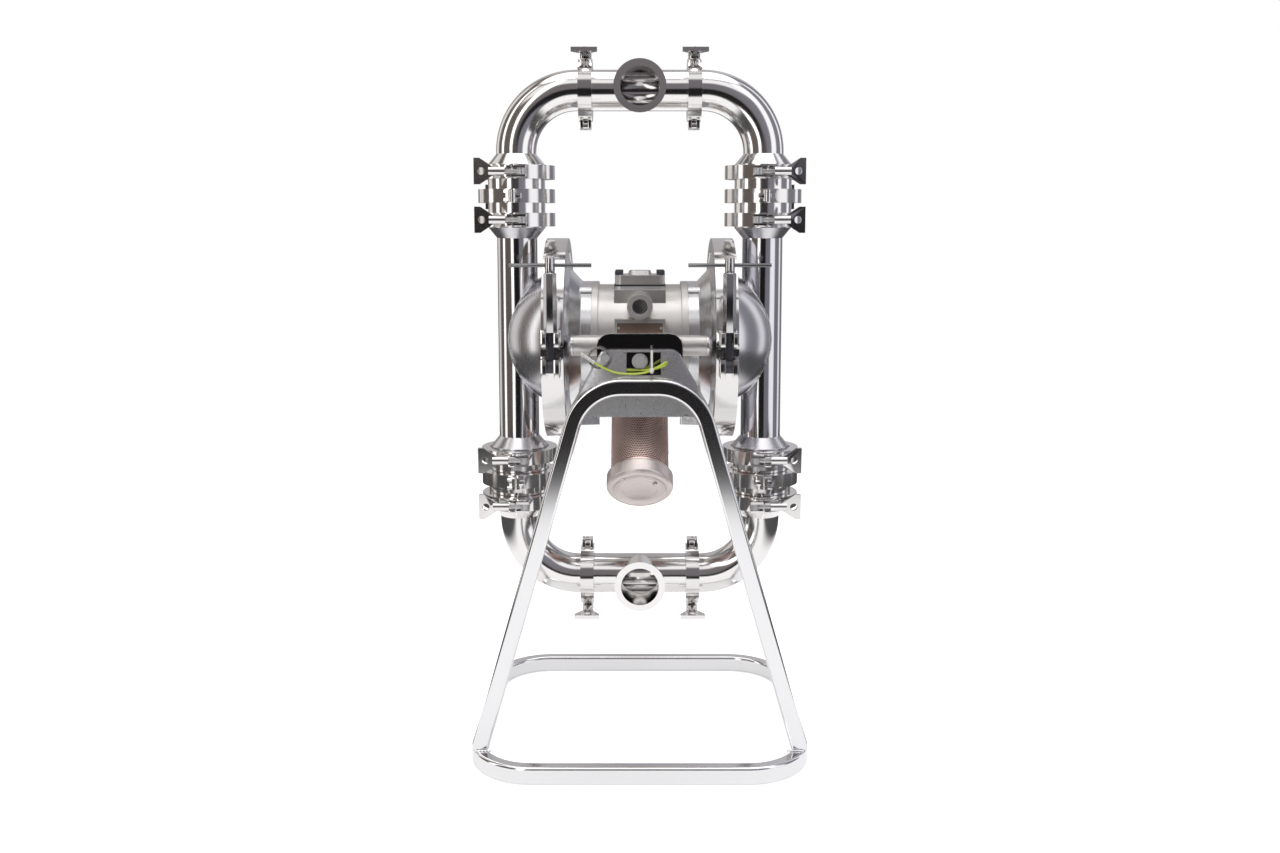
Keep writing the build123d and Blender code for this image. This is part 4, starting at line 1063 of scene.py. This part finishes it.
# ---------------------------------------------------------------- threads and nuts
@dataclass
class Threads:
    """Cut threads of the band studs and of the air inlet."""

    stud_x: float = 0.104
    stud_y: float = -0.1467
    stud_radius: float = 0.0040
    stud_span: Span = (0.500, 0.5325)
    stud_ridge: float = 0.00055
    stud_pitch: float = 0.00125
    inlet_z: float = 0.559
    inlet_radius: float = 0.0093
    inlet_span: Span = (-0.0945, -0.078)
    inlet_ridge: float = -0.0009
    inlet_pitch: float = 0.0016
    root_depth: float = 0.0002
    half_width: float = 0.42
    turn_steps: int = 20

    def build(self) -> None:
        """Make the threads."""
        for side, label in SIDES:
            place = Matrix.Translation((side * self.stud_x, self.stud_y, self.stud_span[0]))
            self._helix(f"{label}_stud_thread", self.stud_radius, self.stud_ridge,
                        self.stud_pitch, self.stud_span, place)
        turn = Matrix.Rotation(math.radians(-90.0), 4, "X")
        place = Matrix.Translation((0.0, self.inlet_span[0], self.inlet_z)) @ turn
        self._helix("inlet_thread", self.inlet_radius, self.inlet_ridge, self.inlet_pitch,
                    self.inlet_span, place)

    def _helix(self, name: str, radius: float, ridge: float, pitch: float, span: Span,
               place: Matrix) -> None:
        """Sweep one ridge round an axis.

        Args:
            name: name of the piece.
            radius: radius that the ridge stands on.
            ridge: height of the ridge, negative when it points inward.
            pitch: rise in one turn.
            span: where the thread starts and ends along its axis.
            place: where the thread starts and along which axis it runs.
        """
        shape = bmesh.new()
        root = radius - math.copysign(self.root_depth, ridge)
        half = self.half_width * pitch
        corners = [shape.verts.new((out, 0.0, z)) for out, z in (
            (root, -half), (radius + ridge, 0.0), (root, half))]
        turns = (span[1] - span[0]) / pitch
        bmesh.ops.spin(shape, geom=[shape.faces.new(corners)], cent=(0, 0, 0),
                       axis=(0, 0, 1), dvec=(0, 0, pitch / self.turn_steps),
                       angle=2 * math.pi * turns, steps=int(self.turn_steps * turns),
                       use_merge=False)
        settle(shape, place)
        finish_piece(name, shape, DARK, sharp=20.0)


@dataclass
class BandNut:
    """Long hex nut with a plain collar and a cross bar, which tightens a band clamp."""

    x: float = 0.104
    y: float = -0.1467
    low: float = 0.533
    shoulder: float = 0.6020
    top: float = 0.620
    flats: float = 0.0135
    nut_chamfer: float = 0.0009
    collar: float = 0.0061
    collar_chamfer: float = 0.0010
    collar_sides: int = 40
    overlap: float = 0.001
    bar_z: float = 0.611
    bar_radius: float = 0.0023
    bar_length: float = 0.096
    bar_chamfer: float = 0.0006
    bar_sides: int = 24

    def build(self) -> None:
        """Make both nuts."""
        for side, label in SIDES:
            self._nut(side * self.x, label)
            self._bar(side * self.x, label)

    def _nut(self, x: float, label: str) -> None:
        """Make one nut with its collar.

        Args:
            x: where its axis stands.
            label: left or right.
        """
        shape = bmesh.new()
        corner = self.flats / 2 / math.cos(math.pi / 6)
        turn = Matrix.Rotation(math.radians(30.0), 4, "Z")
        for radius, low, high, sides, chamfer in (
                (corner, self.low, self.shoulder, 6, self.nut_chamfer),
                (self.collar, self.shoulder - self.overlap, self.top, self.collar_sides,
                 self.collar_chamfer)):
            place = Matrix.Translation((x, self.y, (low + high) / 2)) @ turn
            add_rod(shape, radius, high - low, place, sides, chamfer)
        nut = finish_piece(f"{label}_band_nut", shape, NUT, f"{label}_t_nut")
        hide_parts(f"t_nut_{label}")

    def _bar(self, x: float, label: str) -> None:
        """Make one nut's cross bar.

        Args:
            x: where the nut's axis stands.
            label: left or right.
        """
        shape = bmesh.new()
        turn = Matrix.Rotation(math.radians(90.0), 4, "Y")
        place = Matrix.Translation((x, self.y, self.bar_z)) @ turn
        add_rod(shape, self.bar_radius, self.bar_length, place, self.bar_sides,
                self.bar_chamfer)
        finish_piece(f"{label}_cross_bar", shape, CROSS_BAR, f"{label}_t_nut")


@dataclass
class NamePlate:
    """Raised border of the bare name plate."""

    centre: Point = (0.0, -0.0792, 0.532)
    width: float = 0.058
    height: float = 0.0145
    border: float = 0.0011
    proud: float = 0.0005
    sunk: float = 0.0002

    def build(self) -> None:
        """Make the border."""
        shape = bmesh.new()
        turned = Matrix.Rotation(math.radians(45.0), 4, "Z")
        for inset in (0.0, 2 * self.border):
            loop = bmesh.ops.create_circle(shape, cap_ends=False, segments=4,
                                           radius=math.sqrt(0.5), matrix=turned)
            bmesh.ops.scale(shape, vec=(self.width - inset, self.height - inset, 1.0),
                            verts=loop["verts"])
        bmesh.ops.bridge_loops(shape, edges=shape.edges[:])
        made = bmesh.ops.extrude_face_region(shape, geom=shape.faces[:])
        bmesh.ops.translate(shape, vec=(0, 0, self.proud + self.sunk), verts=new_verts(made))
        turn = Matrix.Rotation(math.radians(90.0), 4, "X")
        back = Vector(self.centre) + Vector((0, self.sunk, 0))
        settle(shape, Matrix.Translation(back) @ turn)
        finish_piece("name_plate_border", shape, BOLT)


# ---------------------------------------------------------------- rounded castings and bars
@dataclass
class RoundedNodes:
    """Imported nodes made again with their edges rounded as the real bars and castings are."""

    nodes: tuple[str, ...]
    width: float
    segments: int
    merge: float = 2e-6
    least_edge: float = 1e-6
    flat: float = 1.0
    sharp: float = 40.0
    shading: float = 50.0

    def build(self) -> None:
        """Make each node again."""
        for node in self.nodes:
            self._round(node)

    def _round(self, node: str) -> None:
        """Merge a copy of a node's mesh, round its edges and put it in the node's place.

        Args:
            node: name of the node.
        """
        source = frame["nodes"][node]
        shape = bmesh.new()
        shape.from_mesh(source.data)
        bmesh.ops.remove_doubles(shape, verts=shape.verts, dist=self.merge)
        bmesh.ops.dissolve_degenerate(shape, dist=self.least_edge, edges=shape.edges)
        bmesh.ops.dissolve_limit(shape, angle_limit=math.radians(self.flat),
                                 verts=shape.verts, edges=shape.edges)
        body = (body_of(source) or [ROOT_BODY])[0]
        piece = finish_piece(f"{node}_rounded", shape, NODE_FINISHES[node], body, self.shading)
        bevel = piece.modifiers.new("edges", "BEVEL")
        bevel.width = self.width
        bevel.segments = self.segments
        bevel.limit_method = "ANGLE"
        bevel.angle_limit = math.radians(self.sharp)
        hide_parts(node)


ROUNDED = (
    RoundedNodes(("front_frame", "rear_frame", "base_loop"), 0.0032, 4),
    RoundedNodes(("clamp_nut_halves", "clamp_bolt_halves"), 0.0009, 2),
    RoundedNodes(("clamp_wing_nuts",), 0.0007, 2),
    RoundedNodes(("band_clamp_upper_left", "band_clamp_upper_right", "band_clamp_lower_left",
                  "band_clamp_lower_right"), 0.0009, 2),
    RoundedNodes(("muffler_cap", "pilot_cover"), 0.0012, 3),
)


# ---------------------------------------------------------------- studio
@dataclass(frozen=True)
class Panel:
    """A lit panel of the room: the directions it spans, in degrees, and its brightness."""

    azimuth: Span
    elevation: Span
    level: float
    soft: float = 2.5


@dataclass
class Studio:
    """Pale floor, a dark room with lit panels for the metal to mirror, and the camera."""

    camera_place: Point = (0.0002, -1.5345, 0.6663)
    camera_pitch: float = 6.61
    lens: float = 33.75
    sensor: float = 36.0
    shift_y: float = -0.055
    nearest: float = 0.01
    floor_half: float = 1.8
    floor_roughness: float = 0.9
    floor_glow: float = 0.62
    mirrored_glow: float = 0.30
    floor_tone: float = 0.86
    unlit_tone: float = 0.10
    lit_across: Span = (0.42, 0.75)
    lit_along: Span = (-1.75, -1.35)
    left_wall: Colour = (0.150, 0.125, 0.110)
    right_wall: Colour = (0.235, 0.230, 0.265)
    wall_blend: Span = (-0.5, 0.5)
    doorway: Panel = Panel((-14.0, 14.0), (-40.0, 3.0), -0.93, 3.0)
    panels: tuple[Panel, ...] = (
        Panel((-31.0, -18.0), (-24.0, 58.0), 2.2),
        Panel((-84.0, -70.0), (-24.0, 58.0), 1.7),
        Panel((42.0, 72.0), (-24.0, 58.0), 0.95, 4.0),
        Panel((106.0, 122.0), (-24.0, 58.0), 0.9),
        Panel((-140.0, -112.0), (-24.0, 50.0), 0.7, 5.0),
        Panel((-180.5, 180.5), (62.0, 95.0), 2.0, 4.0),
        Panel((-60.0, 60.0), (36.0, 56.0), 0.9, 4.0),
        Panel((-181.0, -150.0), (0.0, 60.0), 0.35, 8.0),
        Panel((150.0, 181.0), (0.0, 60.0), 0.35, 8.0),
    )

    def build(self) -> None:
        """Set up everything around the pump."""
        bpy.context.scene.view_settings.view_transform = "Standard"
        self._camera()
        self._floor()
        self._world()

    def _camera(self) -> None:
        """Put the camera in front of the pump, a little above its middle."""
        data = bpy.data.cameras.new("camera")
        data.lens = self.lens
        data.sensor_width = self.sensor
        data.shift_y = self.shift_y
        data.clip_start = self.nearest
        camera = bpy.data.objects.new("camera", data)
        camera.location = self.camera_place
        camera.rotation_euler = (math.radians(90.0 - self.camera_pitch), 0.0, 0.0)
        bpy.context.scene.collection.objects.link(camera)
        bpy.context.scene.camera = camera

    def _floor(self) -> None:
        """Lay the pale floor: bright near the pump, dark at its edge in reflections."""
        mesh = bpy.data.meshes.new("floor")
        shape = bmesh.new()
        bmesh.ops.create_grid(shape, x_segments=2, y_segments=2, size=self.floor_half)
        shape.to_mesh(mesh)
        shape.free()
        mesh.materials.append(self._floor_paint())
        floor = bpy.data.objects.new("floor", mesh)
        bpy.context.scene.collection.objects.link(floor)
        floor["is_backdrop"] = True

    def _floor_paint(self) -> bpy.types.Material:
        """Make the floor's material, white to the camera and shaded in the metal.

        Returns:
            The material.
        """
        material = bpy.data.materials.new("pale_floor")
        material.use_nodes = True
        tree = material.node_tree
        x, y, _ = split_vector(tree, add_node(tree, "TexCoord").outputs["Object"])
        side = add_ramp(tree, add_math(tree, "ABSOLUTE", x), self.lit_across, (1.0, 0.0))
        lit = add_math(tree, "MULTIPLY", side, add_ramp(tree, y, self.lit_along))
        seen = add_node(tree, "LightPath").outputs["Is Camera Ray"]
        glow = add_math(tree, "MAXIMUM", add_math(tree, "MULTIPLY", seen, self.floor_glow),
                        add_math(tree, "MULTIPLY", lit, self.mirrored_glow))
        tone = add_math(tree, "MAXIMUM", seen, add_math(tree, "MAXIMUM", lit, self.unlit_tone))
        tone = add_math(tree, "MULTIPLY", tone, self.floor_tone)
        shader = tree.nodes["Principled BSDF"]
        for label, number in (("Roughness", self.floor_roughness), ("Specular IOR Level", 0.0),
                              ("Emission Strength", 1.0)):
            shader.inputs[label].default_value = number
        tree.links.new(glow, shader.inputs["Emission Color"])
        tree.links.new(tone, shader.inputs["Base Color"])
        return material

    @staticmethod
    def _panel(tree: Tree, azimuth: Socket, elevation: Socket, panel: Panel) -> Socket:
        """Add one lit panel.

        Args:
            tree: the world's node tree.
            azimuth: direction round the pump, in degrees.
            elevation: direction above the horizon, in degrees.
            panel: the panel.

        Returns:
            Its brightness.
        """
        level: Socket | float = panel.level
        for socket, (low, high) in ((azimuth, panel.azimuth), (elevation, panel.elevation)):
            rise = add_ramp(tree, socket, (low - panel.soft, low + panel.soft))
            fall = add_ramp(tree, socket, (high - panel.soft, high + panel.soft), (1.0, 0.0))
            both = add_math(tree, "MULTIPLY", rise, fall)
            level = add_math(tree, "MULTIPLY", both, level)
        return level

    def _world(self) -> None:
        """Surround the pump with the room; the camera itself sees plain white."""
        world = bpy.data.worlds.new("studio")
        bpy.context.scene.world = world
        world.use_nodes = True
        tree = world.node_tree
        tree.nodes.clear()
        x, y, z = split_vector(tree, add_node(tree, "TexCoord").outputs["Generated"])
        turn = add_math(tree, "ARCTAN2", x, add_math(tree, "MULTIPLY", y, -1.0))
        azimuth = add_math(tree, "DEGREES", turn)
        elevation = add_math(tree, "DEGREES", add_math(tree, "ARCSINE", z))
        level: Socket | float = 0.0
        for panel in self.panels:
            level = add_math(tree, "ADD", self._panel(tree, azimuth, elevation, panel), level)
        walls = mix_colours(tree, add_ramp(tree, x, self.wall_blend), self.left_wall,
                            self.right_wall)
        door = self._panel(tree, azimuth, elevation, self.doorway)
        shade = add_node(tree, "VectorMath", {0: walls, "Scale": add_math(tree, "ADD", door, 1.0)},
                         operation="SCALE")
        lit = add_node(tree, "VectorMath", {0: shade.outputs["Vector"], 1: level},
                       operation="ADD")
        room = add_node(tree, "Background", {"Color": lit.outputs["Vector"]})
        plain = add_node(tree, "Background", {"Color": (1.0, 1.0, 1.0, 1.0)})
        seen = add_node(tree, "LightPath").outputs["Is Camera Ray"]
        mix = add_node(tree, "MixShader", {"Fac": seen, 1: room.outputs["Background"],
                                           2: plain.outputs["Background"]})
        add_node(tree, "OutputWorld", {"Surface": mix.outputs["Shader"]})


def write_sizes(before: Sequence[Point]) -> None:
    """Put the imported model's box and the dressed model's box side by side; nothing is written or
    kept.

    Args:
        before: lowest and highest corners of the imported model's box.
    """
    def plain(box: Sequence[Point]) -> list[list[float]]:
        """Return a box as plain lists of numbers."""
        return [[float(value) for value in corner] for corner in box]
    {"cad": plain(before), "visual": plain(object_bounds())}


def main() -> None:
    """Build the scene."""
    logging.basicConfig(level=logging.INFO)
    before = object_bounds()
    Studio().build()
    dress_frame()
    for part in (EarthLead(), Muffler(), Welds(), Threads(), BandNut(), NamePlate(), *ROUNDED):
        part.build()
    write_sizes(before)


if __name__ == "__main__":
    main()
